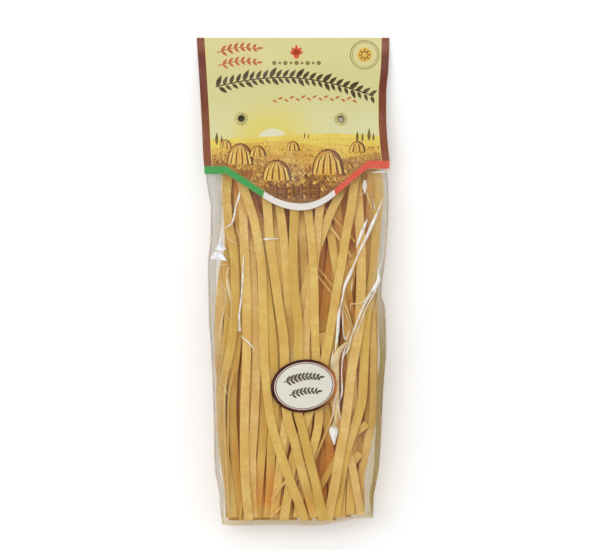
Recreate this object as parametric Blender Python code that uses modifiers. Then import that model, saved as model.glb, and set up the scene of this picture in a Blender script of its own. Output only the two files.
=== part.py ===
"""Clear gusseted bag of long flat pasta ribbons, closed by a folded header card with two
eyelets, with an oval sticker on its front. It lies on its back: +Z is the front, +Y the header."""

import math

import bmesh
import bpy
import numpy as np

MM = 0.001

# Header: the flattened mouth of the bag inside a folded card, leaning down to the floor
HEADER_TILT = math.radians(12)
HEADER_REST_Y = 165.6 * MM
HEADER_REST_Z = 1.12 * MM
HEADER_START_Y = 104 * MM
FILM_HALF = 0.3 * MM
GAP = 0.3 * MM
CARD_THICKNESS = 0.5 * MM
BAG_MOUTH_Y = 163.5 * MM

# Eyelets through card and film
EYELET_PLACES = ((-35.3 * MM, 111.0 * MM), (32.6 * MM, 110.6 * MM))
BARREL_RADIUS = 2.1 * MM
BORE_RADIUS = 1.6 * MM
FLANGE_RADIUS = 4.6 * MM
BACK_FLANGE_RADIUS = 3.6 * MM
HOLE_CLEARANCE = 0.4 * MM
EYELET_STEPS = 20

# Oval sticker
LABEL_CENTRE = (7.7 * MM, -71.2 * MM)
LABEL_HALF_LENGTH = 22.9 * MM
LABEL_HALF_WIDTH = 18.0 * MM
LABEL_TILT = math.radians(8)
LABEL_THICKNESS = 0.35 * MM
LABEL_SEGMENTS = 36
LABEL_RINGS = 2

# Pasta ribbons that show as relief
RIBBON_WIDTH = 6.6 * MM
RIBBON_DEPTH = 2.8 * MM
RIBBON_EDGE = 1.5 * MM
RIBBON_LIFT = 0.7 * MM
LEVEL_DROPS = (0.8 * MM, 0.55 * MM, 0.3 * MM, 0.05 * MM)
CORE_DROP = 1.05 * MM
UNDERSIDE_DROP = 0.6 * MM
FRONT_RIBBON_CUTS = np.array([-159, -152, -130, -105, -80, -52, -24, 4, 30, 46, 58, 68, 76, 83, 89, 95]) * MM

# Stations along the ribbons, and the front ribbons' middle lines: x at each station, and level
RIBBON_STATIONS = (90, 28, -33, -95, -156)
FRONT_RIBBONS = (
    ((-35, -33, -34, -31, -11), 0),
    ((10, 30, 34, 33, 41), 0),
    ((20, 19, 15, 12, 4), 0),
    ((46, 46, 40, 31, 22), 0),
    ((-46, -45, -46, -50, -42), 1),
    ((-40, -40, -42, -45, -37), 1),
    ((-28, -26, -25, -27, -28), 1),
    ((-20, -16, -13, -7, -4), 1),
    ((-12, -14, -17, -15, -16), 1),
    ((4, 7, 9, 12, 26), 1),
    ((13, 17, 18, 20, 33), 1),
    ((40, 39, 37, 33, 31), 1),
    ((60, 59, 56, 55, 44), 1),
    ((33, 33, 32, 32, 47), 1),
    ((-46, -42, -38, -41, -36), 2),
    ((-34, -30, -29, -33, -30), 2),
    ((-2, 2, 6, 4, -5), 2),
    ((7, 11, 15, 13, 9), 2),
    ((61, 59, 54, 52, 47), 2),
    ((54, 53, 50, 45, 24), 2),
    ((-28, -25, -21, -15, 5), 2),
    ((-7, -5, 0, 3, 19), 2),
    ((-43, -20, -8, -4, 13), 3),
    ((46, 36, 27, 15, 7), 3),
    ((52, 49, 42, 35, 24), 3),
)

# Ribbons pressed flat on the floor: count, first and last middle line, and their fan
BACK_RIBBON_COUNT = 12
BACK_RIBBON_REACH = 46 * MM
BACK_RIBBON_TOP_Y = 34 * MM
BACK_RIBBON_BOTTOM_Y = -150 * MM
BACK_RIBBON_FAN = 0.93
BACK_RIBBON_SWAY = 1.2 * MM


def header_height(y):
    """Middle height of the flat header, in metres."""
    return HEADER_REST_Z + (HEADER_REST_Y - y) * math.tan(HEADER_TILT)


def profile(*stations):
    """A smooth curve through (place, value) pairs in millimetres, as a function in metres."""
    places, values = (np.array(column) * MM for column in zip(*sorted(stations)))
    rises = np.diff(values) / np.diff(places)
    same_way = rises[:-1] * rises[1:] > 0
    sums = np.where(same_way, rises[:-1] + rises[1:], 1)
    inner = np.where(same_way, 2 * rises[:-1] * rises[1:] / sums, 0)
    slopes = np.concatenate([rises[:1], inner, rises[-1:]])

    def curve(place):
        place = min(max(place, places[0]), places[-1])
        i = min(int(np.searchsorted(places, place, side="right")) - 1, len(rises) - 1)
        span = places[i + 1] - places[i]
        t = (place - places[i]) / span
        ends = values[i] + (values[i + 1] - values[i]) * t * t * (3 - 2 * t)
        bow = slopes[i] * t * (1 - t) ** 2 - slopes[i + 1] * t * t * (1 - t)
        return float(ends + span * bow)

    return curve


def with_header(offset, *stations):
    """A height profile of the bag that runs on into the flat header, offset from its middle."""
    flat = [(y / MM, (header_height(y) + offset) / MM) for y in (HEADER_START_Y, HEADER_REST_Y)]
    below = profile(*stations, *flat)
    return lambda y: below(y) if y < HEADER_START_Y else header_height(y) + offset


# Plan outline of the film, seen from the front
bag_left = profile(
    (-165, -48.4), (-155, -49.7), (-145, -50.3), (-136, -51.9), (-129, -53.3), (-90, -54.2),
    (-44, -56.0), (-24, -57.5), (13, -57.9), (25, -56.6), (38, -56.0), (51, -56.2),
    (64, -58.3), (73, -59.4), (110, -60), (164, -60),
)
bag_right = profile(
    (-161, 54.8), (-150, 55.0), (-141, 56.2), (-127, 58.6), (-109, 59.9), (-72, 61.7),
    (-45, 63.5), (-19, 62.9), (-8, 60.3), (3, 61.2), (11, 62.5), (38, 64.6),
    (60, 65.3), (78, 64), (110, 62), (164, 62),
)

# Heights of the bag along its length: crown and side edges of the front, middle and edges of the back
front_crown = with_header(
    FILM_HALF,
    (-166.5, 24), (-163.5, 31), (-158, 35), (-148, 37), (-100, 38), (0, 38.5),
    (40, 38), (60, 35.8), (74, 31), (86, 24.5), (96, 18),
)
front_edge = with_header(
    FILM_HALF,
    (-166.5, 20), (-163, 24), (-158, 26), (-148, 27), (-100, 28), (0, 27),
    (40, 24), (60, 20.5), (74, 17.5), (86, 15.8), (96, 15.1),
)
back_middle = with_header(
    -FILM_HALF,
    (-166.5, 9), (-163.5, 3.5), (-159, 0.8), (-152, 0), (36, 0), (46, 1.5),
    (64, 1.8), (76, 4.5), (86, 9), (96, 13),
)
back_edge = with_header(
    -FILM_HALF,
    (-166.5, 12), (-163, 9), (-158, 7), (-148, 6), (0, 6), (40, 6.5),
    (60, 8), (74, 10.5), (86, 12.2), (96, 13.6),
)
gusset_inset = profile(
    (-166.5, 0.5), (-158, 2), (-148, 3), (0, 5), (40, 7), (60, 9),
    (74, 10.5), (86, 9), (98, 1.5), (104, 0), (164, 0),
)
pasta_share = profile((-166.5, 0), (-163, 0), (-157, 1000), (70, 1000), (98, 0), (164, 0))

# The bottom end runs a little askew, with a low point near its middle
end_line = profile((-50, 1), (-42, 0), (0, 0.3), (13, -0.6), (32, 2.5), (45, 5), (56, 5.2))
END_START_Y = -138 * MM
END_Y = -166.5 * MM
CROWN_POWER = 2.4
BACK_POWER = 8
DROP_POWER = 6

# Plan outline of the card, seen from the front
FOLD_Y = 166.7 * MM
card_left = profile((168, -66), (138, -64), (110.5, -62.4), (87, -61.3), (74, -60.3), (48, -59.6))
card_right = profile(
    (168, 66), (147, 65.3), (128, 63.7), (110.5, 63.7), (101, 64.2), (92, 64.9), (82, 65.9), (48, 66)
)
HEM_MIDDLE_X = 5.4 * MM
HEM_LOW_Y = 48.5 * MM
# For each side of the hem: where its bowl ends, where its tab starts, and the tab's height
HEM_LEFT = (24.6 * MM, 50.9 * MM, 73.3 * MM)
HEM_RIGHT = (22.6 * MM, 45.4 * MM, 77.0 * MM)
HEM_COLUMNS = (2, 3, 6, 6, 3, 2)
CARD_ROWS_BELOW = 8
CARD_ROWS_ABOVE = 5
CARD_SLACK = 0.5 * MM
FOLD_STEPS = 4


def share_across(x, y):
    """-1 at the film's left edge, 1 at its right edge, and clamped outside it."""
    left = bag_left(y)
    right = bag_right(y)
    return min(max(2 * (x - left) / (right - left) - 1, -1), 1)


def front_height(x, y):
    """Height of the film's front, where it lies on the uppermost ribbons."""
    edge = front_edge(y)
    rise = 1 - abs(share_across(x, y)) ** CROWN_POWER
    return edge + (front_crown(y) - edge) * rise


def back_height(x, y):
    """Height of the film's back, flat where it rests on the floor."""
    middle = back_middle(y)
    return middle + (back_edge(y) - middle) * abs(share_across(x, y)) ** BACK_POWER


def hem_y(x):
    """The card's lower edge: a bowl with straight flanks, and a level tab at each side."""
    bowl, tab, tab_y = HEM_LEFT if x < HEM_MIDDLE_X else HEM_RIGHT
    slope = (tab_y - HEM_LOW_Y) / (tab - bowl / 2)
    away = abs(x - HEM_MIDDLE_X)
    if away < bowl:
        return HEM_LOW_Y + slope * away * away / (2 * bowl)
    return min(HEM_LOW_Y + slope * (away - bowl / 2), tab_y)


def new_object(name, mesh, collection):
    thing = bpy.data.objects.new(name, mesh)
    collection.objects.link(thing)
    return thing


def mesh_from(name, points, faces):
    """A mesh with its normals pointing out."""
    shape = bmesh.new()
    corners = [shape.verts.new(point) for point in points]
    for face in faces:
        shape.faces.new([corners[i] for i in face])
    bmesh.ops.recalc_face_normals(shape, faces=shape.faces)
    mesh = bpy.data.meshes.new(name)
    shape.to_mesh(mesh)
    shape.free()
    return mesh


def loft(name, rings):
    """A closed solid through rings of equally many points, capped at both ends."""
    count = len(rings[0])
    points = [point for ring in rings for point in ring]
    faces = [
        (r * count + i, r * count + (i + 1) % count, (r + 1) * count + (i + 1) % count, (r + 1) * count + i)
        for r in range(len(rings) - 1)
        for i in range(count)
    ]
    faces.append(tuple(range(count)))
    faces.append(tuple(range((len(rings) - 1) * count, len(rings) * count)))
    return mesh_from(name, points, faces)


def plain_material(name, colour, roughness, metallic=0.0):
    material = bpy.data.materials.new(name)
    material.use_nodes = True
    shader = material.node_tree.nodes["Principled BSDF"]
    shader.inputs["Base Color"].default_value = (*colour, 1)
    shader.inputs["Roughness"].default_value = roughness
    shader.inputs["Metallic"].default_value = metallic
    return material


def apply_modifiers(thing):
    """Replaces the object's mesh by its evaluated one."""
    graph = bpy.context.evaluated_depsgraph_get()
    made = bpy.data.meshes.new_from_object(thing.evaluated_get(graph))
    thing.modifiers.clear()
    thing.data = made


def bag_ring(y):
    """One cross-section of the bare core: crowned front, folded-in sides and flat back."""
    left = bag_left(y)
    right = bag_right(y)
    inset = gusset_inset(y)
    share = pasta_share(y)
    blend = min(max((END_START_Y - y) / (END_START_Y - END_Y), 0), 1)

    def point(u, z):
        x = left + (right - left) * (u + 1) / 2
        return (x, y + blend * end_line(x), z)

    def on_front(u):
        drop = share * CORE_DROP * (1 - abs(u) ** DROP_POWER)
        return front_edge(y) + (front_crown(y) - front_edge(y)) * (1 - abs(u) ** CROWN_POWER) - drop

    def on_back(u):
        lift = share * UNDERSIDE_DROP * (1 - abs(u) ** DROP_POWER)
        return back_middle(y) + (back_edge(y) - back_middle(y)) * abs(u) ** BACK_POWER + lift

    across = [-1, -0.94, -0.82, -0.66, -0.44, -0.2, 0.05, 0.3, 0.52, 0.7, 0.84, 0.94, 1]
    half_inset = 2 * inset / (right - left)
    waist = (front_edge(y) + back_edge(y)) / 2
    front = [point(u, on_front(u)) for u in across]
    back = [point(u, on_back(u)) for u in reversed(across)]
    return front + [point(1 - half_inset, waist)] + back + [point(half_inset - 1, waist)]


def ribbon_line(stations):
    """A smooth middle line: x as a function of y, through the ribbon's stations."""
    return profile(*zip(RIBBON_STATIONS, stations))


def front_ribbon(name, stations, level):
    """A ribbon bar that follows the bag's front and reaches down into the core."""
    line = ribbon_line(stations)
    drop = LEVEL_DROPS[level]
    rings = []
    for y in FRONT_RIBBON_CUTS:
        x = line(y)
        slope = (line(y + MM) - line(y - MM)) / (2 * MM)
        half = RIBBON_WIDTH / 2 * math.hypot(1, slope)
        sides = [max(x - half, bag_left(y) + RIBBON_EDGE), min(x + half, bag_right(y) - RIBBON_EDGE)]
        tops = [(side, y, front_height(side, y) - drop) for side in sides]
        feet = [
            (side, y, max(z - RIBBON_DEPTH + drop, back_height(side, y) + RIBBON_LIFT))
            for side, y, z in reversed(tops)
        ]
        rings.append(tops + feet)
    return loft(name, rings)


def back_ribbon(name, number):
    """A ribbon pressed flat on the floor, its lower face at z = 0."""
    place = 2 * number / (BACK_RIBBON_COUNT - 1) - 1
    rings = []
    for y in np.linspace(BACK_RIBBON_BOTTOM_Y, BACK_RIBBON_TOP_Y, 4):
        along = (y - BACK_RIBBON_BOTTOM_Y) / (BACK_RIBBON_TOP_Y - BACK_RIBBON_BOTTOM_Y)
        reach = BACK_RIBBON_REACH * (BACK_RIBBON_FAN + (1 - BACK_RIBBON_FAN) * along)
        x = 3 * MM + place * reach + BACK_RIBBON_SWAY * math.sin(2 * math.pi * along)
        left = x - RIBBON_WIDTH / 2
        right = x + RIBBON_WIDTH / 2
        height = 2.5 * MM
        rings.append([(left, y, 0), (right, y, 0), (right, y, height), (left, y, height)])
    return loft(name, rings)


def make_bag(parts, helpers, eyelet_cutters):
    """The filled bag as one solid: a bare core with the ribbons that show fused on."""
    stations = np.concatenate([
        np.array([-166.5, -165.2, -163.5, -161, -158, -153, -147]) * MM,
        np.linspace(-138, 36, 15) * MM,
        np.array([44, 52, 60, 68, 74, 80, 86, 91, 96, 100, 104, 112, 125, 145]) * MM,
        [BAG_MOUTH_Y],
    ])
    bag = new_object("bag", loft("bag", [bag_ring(y) for y in stations]), parts)
    ribbons = bpy.data.collections.new("ribbons")
    bpy.context.scene.collection.children.link(ribbons)
    for number, (line, level) in enumerate(FRONT_RIBBONS):
        name = f"front_ribbon_{number}"
        new_object(name, front_ribbon(name, line, level), ribbons)
    for number in range(BACK_RIBBON_COUNT):
        name = f"back_ribbon_{number}"
        new_object(name, back_ribbon(name, number), ribbons)
    union = bag.modifiers.new("fuse_ribbons", "BOOLEAN")
    union.operation = "UNION"
    union.operand_type = "COLLECTION"
    union.collection = ribbons
    union.solver = "MANIFOLD"
    apply_modifiers(bag)
    for ribbon in list(ribbons.objects):
        bpy.data.objects.remove(ribbon)
    bpy.data.collections.remove(ribbons)
    pierce(bag, eyelet_cutters)
    bag.data.materials.append(plain_material("pasta_in_film", (0.72, 0.47, 0.15), 0.35))


def pierce(thing, cutters):
    for cutter in cutters:
        cut = thing.modifiers.new("hole", "BOOLEAN")
        cut.operation = "DIFFERENCE"
        cut.object = cutter


def card_columns():
    """x along the hem, with a column at each of its corners."""
    corners = [
        card_left(HEM_LEFT[2]),
        HEM_MIDDLE_X - HEM_LEFT[1],
        HEM_MIDDLE_X - HEM_LEFT[0],
        HEM_MIDDLE_X,
        HEM_MIDDLE_X + HEM_RIGHT[0],
        HEM_MIDDLE_X + HEM_RIGHT[1],
        card_right(HEM_RIGHT[2]),
    ]
    columns = [corners[0]]
    for start, end, count in zip(corners, corners[1:], HEM_COLUMNS):
        columns += list(np.linspace(start, end, count + 1)[1:])
    return columns


def card_column(hem_x):
    """One strip of the card's middle surface: up the front, round the fold, and down the back."""
    low = hem_y(hem_x)
    width_at_hem = card_right(low) - card_left(low)
    share = (hem_x - card_left(low)) / width_at_hem
    offset = GAP + CARD_THICKNESS / 2
    fold_radius = FILM_HALF + offset
    bend_y = FOLD_Y - fold_radius - CARD_THICKNESS / 2

    def across(y):
        return card_left(y) + share * (card_right(y) - card_left(y))

    points = []
    below = np.linspace(low, HEADER_START_Y, CARD_ROWS_BELOW + 1)[:-1]
    above = np.linspace(HEADER_START_Y, bend_y, CARD_ROWS_ABOVE)
    lifts = [CARD_SLACK] * (CARD_ROWS_BELOW - 1) + [CARD_SLACK / 2] + [0] * CARD_ROWS_ABOVE
    rows = list(zip(np.concatenate([below, above]), lifts))
    for y, lift in rows:
        points.append((across(y), y, front_height(across(y), y) + offset + lift))
    middle = header_height(bend_y)
    for step in range(1, FOLD_STEPS):
        angle = math.pi / 2 - math.pi * step / FOLD_STEPS
        y = bend_y + fold_radius * math.cos(angle)
        points.append((across(y), y, middle + fold_radius * math.sin(angle)))
    for y, lift in reversed(rows):
        points.append((across(y), y, back_height(across(y), y) - offset - lift))
    return points


def make_card(parts, eyelet_cutters):
    """The header card: one sheet folded over the bag's mouth, die-cut along its lower edges."""
    strips = [card_column(x) for x in card_columns()]
    count = len(strips[0])
    points = [point for strip in strips for point in strip]
    faces = [
        (c * count + r, (c + 1) * count + r, (c + 1) * count + r + 1, c * count + r + 1)
        for c in range(len(strips) - 1)
        for r in range(count - 1)
    ]
    card = new_object("header_card", mesh_from("header_card", points, faces), parts)
    board = card.modifiers.new("board", "SOLIDIFY")
    board.thickness = CARD_THICKNESS
    board.offset = 0
    pierce(card, eyelet_cutters)
    card.data.materials.append(plain_material("printed_card", (0.68, 0.60, 0.26), 0.45))


def eyelet_cutter(number, place, helpers):
    """A cylinder square to the header, a little wider than the eyelet's barrel."""
    shape = bmesh.new()
    radius = BARREL_RADIUS + HOLE_CLEARANCE
    bmesh.ops.create_cone(
        shape, cap_ends=True, segments=EYELET_STEPS, radius1=radius, radius2=radius, depth=10 * MM
    )
    mesh = bpy.data.meshes.new("cutter")
    shape.to_mesh(mesh)
    shape.free()
    cutter = new_object(f"eyelet_cutter_{number}", mesh, helpers)
    set_on_header(cutter, place)
    cutter.hide_render = True
    cutter.display_type = "WIRE"
    return cutter


def set_on_header(thing, place):
    x, y = place
    thing.location = (x, y, header_height(y))
    thing.rotation_euler = (-HEADER_TILT, 0, 0)


def make_eyelet(name, place, parts, brass):
    """A brass eyelet: a turned profile with a wide front flange and a narrower back one."""
    seat = FILM_HALF + GAP + CARD_THICKNESS + GAP
    rim = seat + 0.5 * MM
    profile_points = [
        (BORE_RADIUS, rim - 0.3 * MM),
        (BORE_RADIUS + 0.9 * MM, rim),
        (FLANGE_RADIUS - 0.5 * MM, rim - 0.1 * MM),
        (FLANGE_RADIUS, seat),
        (BARREL_RADIUS, seat),
        (BARREL_RADIUS, -seat),
        (BACK_FLANGE_RADIUS, -seat),
        (BACK_FLANGE_RADIUS - 0.4 * MM, 0.1 * MM - rim),
        (BORE_RADIUS + 0.6 * MM, -rim),
        (BORE_RADIUS, 0.3 * MM - rim),
    ]
    shape = bmesh.new()
    corners = [shape.verts.new((radius, 0, z)) for radius, z in profile_points]
    for first, second in zip(corners, corners[1:] + corners[:1]):
        shape.edges.new((first, second))
    mesh = bpy.data.meshes.new(name)
    shape.to_mesh(mesh)
    shape.free()
    eyelet = new_object(name, mesh, parts)
    turn = eyelet.modifiers.new("turn", "SCREW")
    turn.steps = EYELET_STEPS
    turn.render_steps = EYELET_STEPS
    turn.use_merge_vertices = True
    turn.merge_threshold = 0.00001
    set_on_header(eyelet, place)
    eyelet.data.materials.append(brass)


def make_label(parts):
    """The oval sticker, bowed over the uppermost ribbons."""
    lift = GAP + LABEL_THICKNESS / 2

    def point(share, angle):
        along = LABEL_HALF_LENGTH * share * math.cos(angle)
        up = LABEL_HALF_WIDTH * share * math.sin(angle)
        x = LABEL_CENTRE[0] + along * math.cos(LABEL_TILT) - up * math.sin(LABEL_TILT)
        y = LABEL_CENTRE[1] + along * math.sin(LABEL_TILT) + up * math.cos(LABEL_TILT)
        return (x, y, front_height(x, y) + lift)

    count = LABEL_SEGMENTS
    points = [point(0, 0)]
    for ring in range(1, LABEL_RINGS + 1):
        points += [point(ring / LABEL_RINGS, 2 * math.pi * i / count) for i in range(count)]
    faces = [(0, 1 + i, 1 + (i + 1) % count) for i in range(count)]
    for ring in range(LABEL_RINGS - 1):
        inner = 1 + ring * count
        outer = inner + count
        faces += [
            (inner + i, outer + i, outer + (i + 1) % count, inner + (i + 1) % count) for i in range(count)
        ]
    label = new_object("label", mesh_from("label", points, faces), parts)
    paper = label.modifiers.new("paper", "SOLIDIFY")
    paper.thickness = LABEL_THICKNESS
    paper.offset = 0
    label.data.materials.append(plain_material("label_paper", (0.62, 0.60, 0.52), 0.4))


def main():
    for thing in list(bpy.data.objects):
        bpy.data.objects.remove(thing)
    parts = bpy.data.collections.new("pasta_pack")
    helpers = bpy.data.collections.new("cutters")
    bpy.context.scene.collection.children.link(parts)
    bpy.context.scene.collection.children.link(helpers)
    cutters = [eyelet_cutter(i, place, helpers) for i, place in enumerate(EYELET_PLACES)]
    make_bag(parts, helpers, cutters)
    make_card(parts, cutters)
    brass = plain_material("brass", (0.62, 0.52, 0.26), 0.35, 1.0)
    for name, place in zip(("eyelet_left", "eyelet_right"), EYELET_PLACES):
        make_eyelet(name, place, parts, brass)
    make_label(parts)


main()
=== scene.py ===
import math

import bmesh
import bpy
import numpy as np
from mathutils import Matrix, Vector


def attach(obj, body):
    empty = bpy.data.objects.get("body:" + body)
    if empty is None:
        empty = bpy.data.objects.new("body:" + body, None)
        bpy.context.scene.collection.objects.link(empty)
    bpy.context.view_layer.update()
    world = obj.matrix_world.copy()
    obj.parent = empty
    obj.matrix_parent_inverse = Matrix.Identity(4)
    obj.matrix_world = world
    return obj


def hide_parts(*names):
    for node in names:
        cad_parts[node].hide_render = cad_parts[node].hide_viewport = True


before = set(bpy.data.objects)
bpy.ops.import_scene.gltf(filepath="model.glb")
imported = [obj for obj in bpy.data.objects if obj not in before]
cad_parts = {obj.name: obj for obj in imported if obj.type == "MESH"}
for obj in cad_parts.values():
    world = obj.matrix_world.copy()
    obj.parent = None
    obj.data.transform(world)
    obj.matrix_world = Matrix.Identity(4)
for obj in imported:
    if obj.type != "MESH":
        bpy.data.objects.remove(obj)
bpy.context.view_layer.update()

MM = 0.001
PHOTO_SCALE = 0.684  # millimetres for each pixel of the photograph
PHOTO_SIZE = (590, 550)
PHOTO_CENTRE = (293, 281.5)  # the pixel at x = 0 and y = 0


# The bag's form, as in the solids, in millimetres


def profile(*stations):
    """A smooth curve through (place, value) pairs, for arrays too."""
    places, values = (np.array(column, float) for column in zip(*sorted(stations)))
    rises = np.diff(values) / np.diff(places)
    same_way = rises[:-1] * rises[1:] > 0
    sums = np.where(same_way, rises[:-1] + rises[1:], 1)
    inner = np.where(same_way, 2 * rises[:-1] * rises[1:] / sums, 0)
    slopes = np.concatenate([rises[:1], inner, rises[-1:]])

    def curve(place):
        place = np.clip(np.asarray(place, float), places[0], places[-1])
        i = np.clip(np.searchsorted(places, place, side="right") - 1, 0, len(rises) - 1)
        span = places[i + 1] - places[i]
        t = (place - places[i]) / span
        ends = values[i] + (values[i + 1] - values[i]) * t * t * (3 - 2 * t)
        bow = slopes[i] * t * (1 - t) ** 2 - slopes[i + 1] * t * t * (1 - t)
        return ends + span * bow

    return curve


HEADER_SLOPE = math.tan(math.radians(12))
HEADER_START = 104.0
HEADER_TOP = 165.6
HEADER_LEVEL = 1.12  # height of the flat mouth's middle at HEADER_TOP
FILM_HALF = 0.3
GAP = 0.3
CARD = 0.5


def header_height(y):
    """Height of the middle of the flat mouth, which leans down under the card."""
    return HEADER_LEVEL + (HEADER_TOP - np.asarray(y, float)) * HEADER_SLOPE


def with_header(offset, *stations):
    """A curve along the bag that joins the leaning mouth, at an offset from its middle."""
    flat = [(y, float(header_height(y)) + offset) for y in (HEADER_START, HEADER_TOP)]
    below = profile(*stations, *flat)
    return lambda y: np.where(np.asarray(y) < HEADER_START, below(y), header_height(y) + offset)


bag_left = profile(
    (-165, -48.4), (-155, -49.7), (-145, -50.3), (-136, -51.9), (-129, -53.3), (-90, -54.2),
    (-44, -56.0), (-24, -57.5), (13, -57.9), (25, -56.6), (38, -56.0), (51, -56.2),
    (64, -58.3), (73, -59.4), (110, -60), (164, -60),
)
bag_right = profile(
    (-161, 54.8), (-150, 55.0), (-141, 56.2), (-127, 58.6), (-109, 59.9), (-72, 61.7),
    (-45, 63.5), (-19, 62.9), (-8, 60.3), (3, 61.2), (11, 62.5), (38, 64.6),
    (60, 65.3), (78, 64), (110, 62), (164, 62),
)
front_crown = with_header(
    FILM_HALF,
    (-166.5, 24), (-163.5, 31), (-158, 35), (-148, 37), (-100, 38), (0, 38.5),
    (40, 38), (60, 35.8), (74, 31), (86, 24.5), (96, 18),
)
front_edge = with_header(
    FILM_HALF,
    (-166.5, 20), (-163, 24), (-158, 26), (-148, 27), (-100, 28), (0, 27),
    (40, 24), (60, 20.5), (74, 17.5), (86, 15.8), (96, 15.1),
)
back_middle = with_header(
    -FILM_HALF,
    (-166.5, 9), (-163.5, 3.5), (-159, 0.8), (-152, 0), (36, 0), (46, 1.5),
    (64, 1.8), (76, 4.5), (86, 9), (96, 13),
)
back_edge = with_header(
    -FILM_HALF,
    (-166.5, 12), (-163, 9), (-158, 7), (-148, 6), (0, 6), (40, 6.5),
    (60, 8), (74, 10.5), (86, 12.2), (96, 13.6),
)
gusset_inset = profile(
    (-166.5, 0.5), (-158, 2), (-148, 3), (0, 5), (40, 7), (60, 9),
    (74, 10.5), (86, 9), (98, 1.5), (104, 0), (164, 0),
)
end_line = profile((-50, 1), (-42, 0), (0, 0.3), (13, -0.6), (32, 2.5), (45, 5), (56, 5.2))
END_START = -138.0
END = -166.5
CROWN_POWER = 2.4
BACK_POWER = 8


def share_across(x, y):
    left = bag_left(y)
    right = bag_right(y)
    return np.clip(2 * (x - left) / (right - left) - 1, -1, 1)


def front_height(x, y):
    edge = front_edge(y)
    return edge + (front_crown(y) - edge) * (1 - np.abs(share_across(x, y)) ** CROWN_POWER)


def back_height(x, y):
    middle = back_middle(y)
    return middle + (back_edge(y) - middle) * np.abs(share_across(x, y)) ** BACK_POWER


def plan(px, py):
    """A pixel of the photograph as x and y in millimetres."""
    return (px - PHOTO_CENTRE[0]) * PHOTO_SCALE, (PHOTO_CENTRE[1] - py) * PHOTO_SCALE


# Helpers


def grid_mesh(name, points, faces):
    """A smooth mesh from millimetre points (n x 3) and faces."""
    mesh = bpy.data.meshes.new(name)
    mesh.from_pydata((np.asarray(points) * MM).tolist(), [], faces)
    mesh.validate()
    mesh.shade_smooth()
    return mesh


def numbered(rows, columns, start=0):
    """Point numbers from start on, row by row."""
    return start + np.arange(rows * columns).reshape(rows, columns)


def around(grid):
    """The grid with its first column once more at the end, which closes it."""
    return np.column_stack([grid, grid[:, 0]])


def quads(grid):
    """Faces between the neighbouring rows and columns of a grid of point numbers."""
    corners = (grid[:-1, :-1], grid[:-1, 1:], grid[1:, 1:], grid[1:, :-1])
    return np.stack(corners, axis=-1).reshape(-1, 4).tolist()


def add_object(name, mesh):
    thing = bpy.data.objects.new(name, mesh)
    bpy.context.scene.collection.objects.link(thing)
    return thing


def store(mesh, name, values):
    """A float for each vertex, for the materials to read."""
    layer = mesh.attributes.new(name, "FLOAT", "POINT")
    layer.data.foreach_set("value", np.asarray(values, dtype=np.float32))


def points_of(mesh):
    """The mesh's points in metres (n x 3)."""
    co = np.empty(len(mesh.vertices) * 3, np.float32)
    mesh.vertices.foreach_get("co", co)
    return co.reshape(-1, 3).astype(float)


def turn_outward(mesh, split=False):
    """Turns the faces outward, and splits those with more than four corners if asked."""
    shape = bmesh.new()
    shape.from_mesh(mesh)
    bmesh.ops.recalc_face_normals(shape, faces=shape.faces)
    if split:
        bmesh.ops.triangulate(shape, faces=[face for face in shape.faces if len(face.verts) > 4])
    shape.to_mesh(mesh)
    shape.free()


def lengths_along(*axes):
    """The length of a line up to each of its points."""
    return np.concatenate([[0], np.cumsum(np.hypot(*(np.diff(axis) for axis in axes)))])


def unit(vectors):
    return vectors / np.linalg.norm(vectors, axis=1)[:, None]


def as_piece(thing, slot, *materials):
    for material in materials:
        thing.data.materials.append(material)
    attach(thing, "root")
    return thing


def srgb(red, green, blue):
    """A colour given as seen, 0 to 255, as the linear values that nodes take."""
    return tuple(
        c / 12.92 if c <= 0.04045 else ((c + 0.055) / 1.055) ** 2.4
        for c in (red / 255, green / 255, blue / 255)
    )


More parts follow.
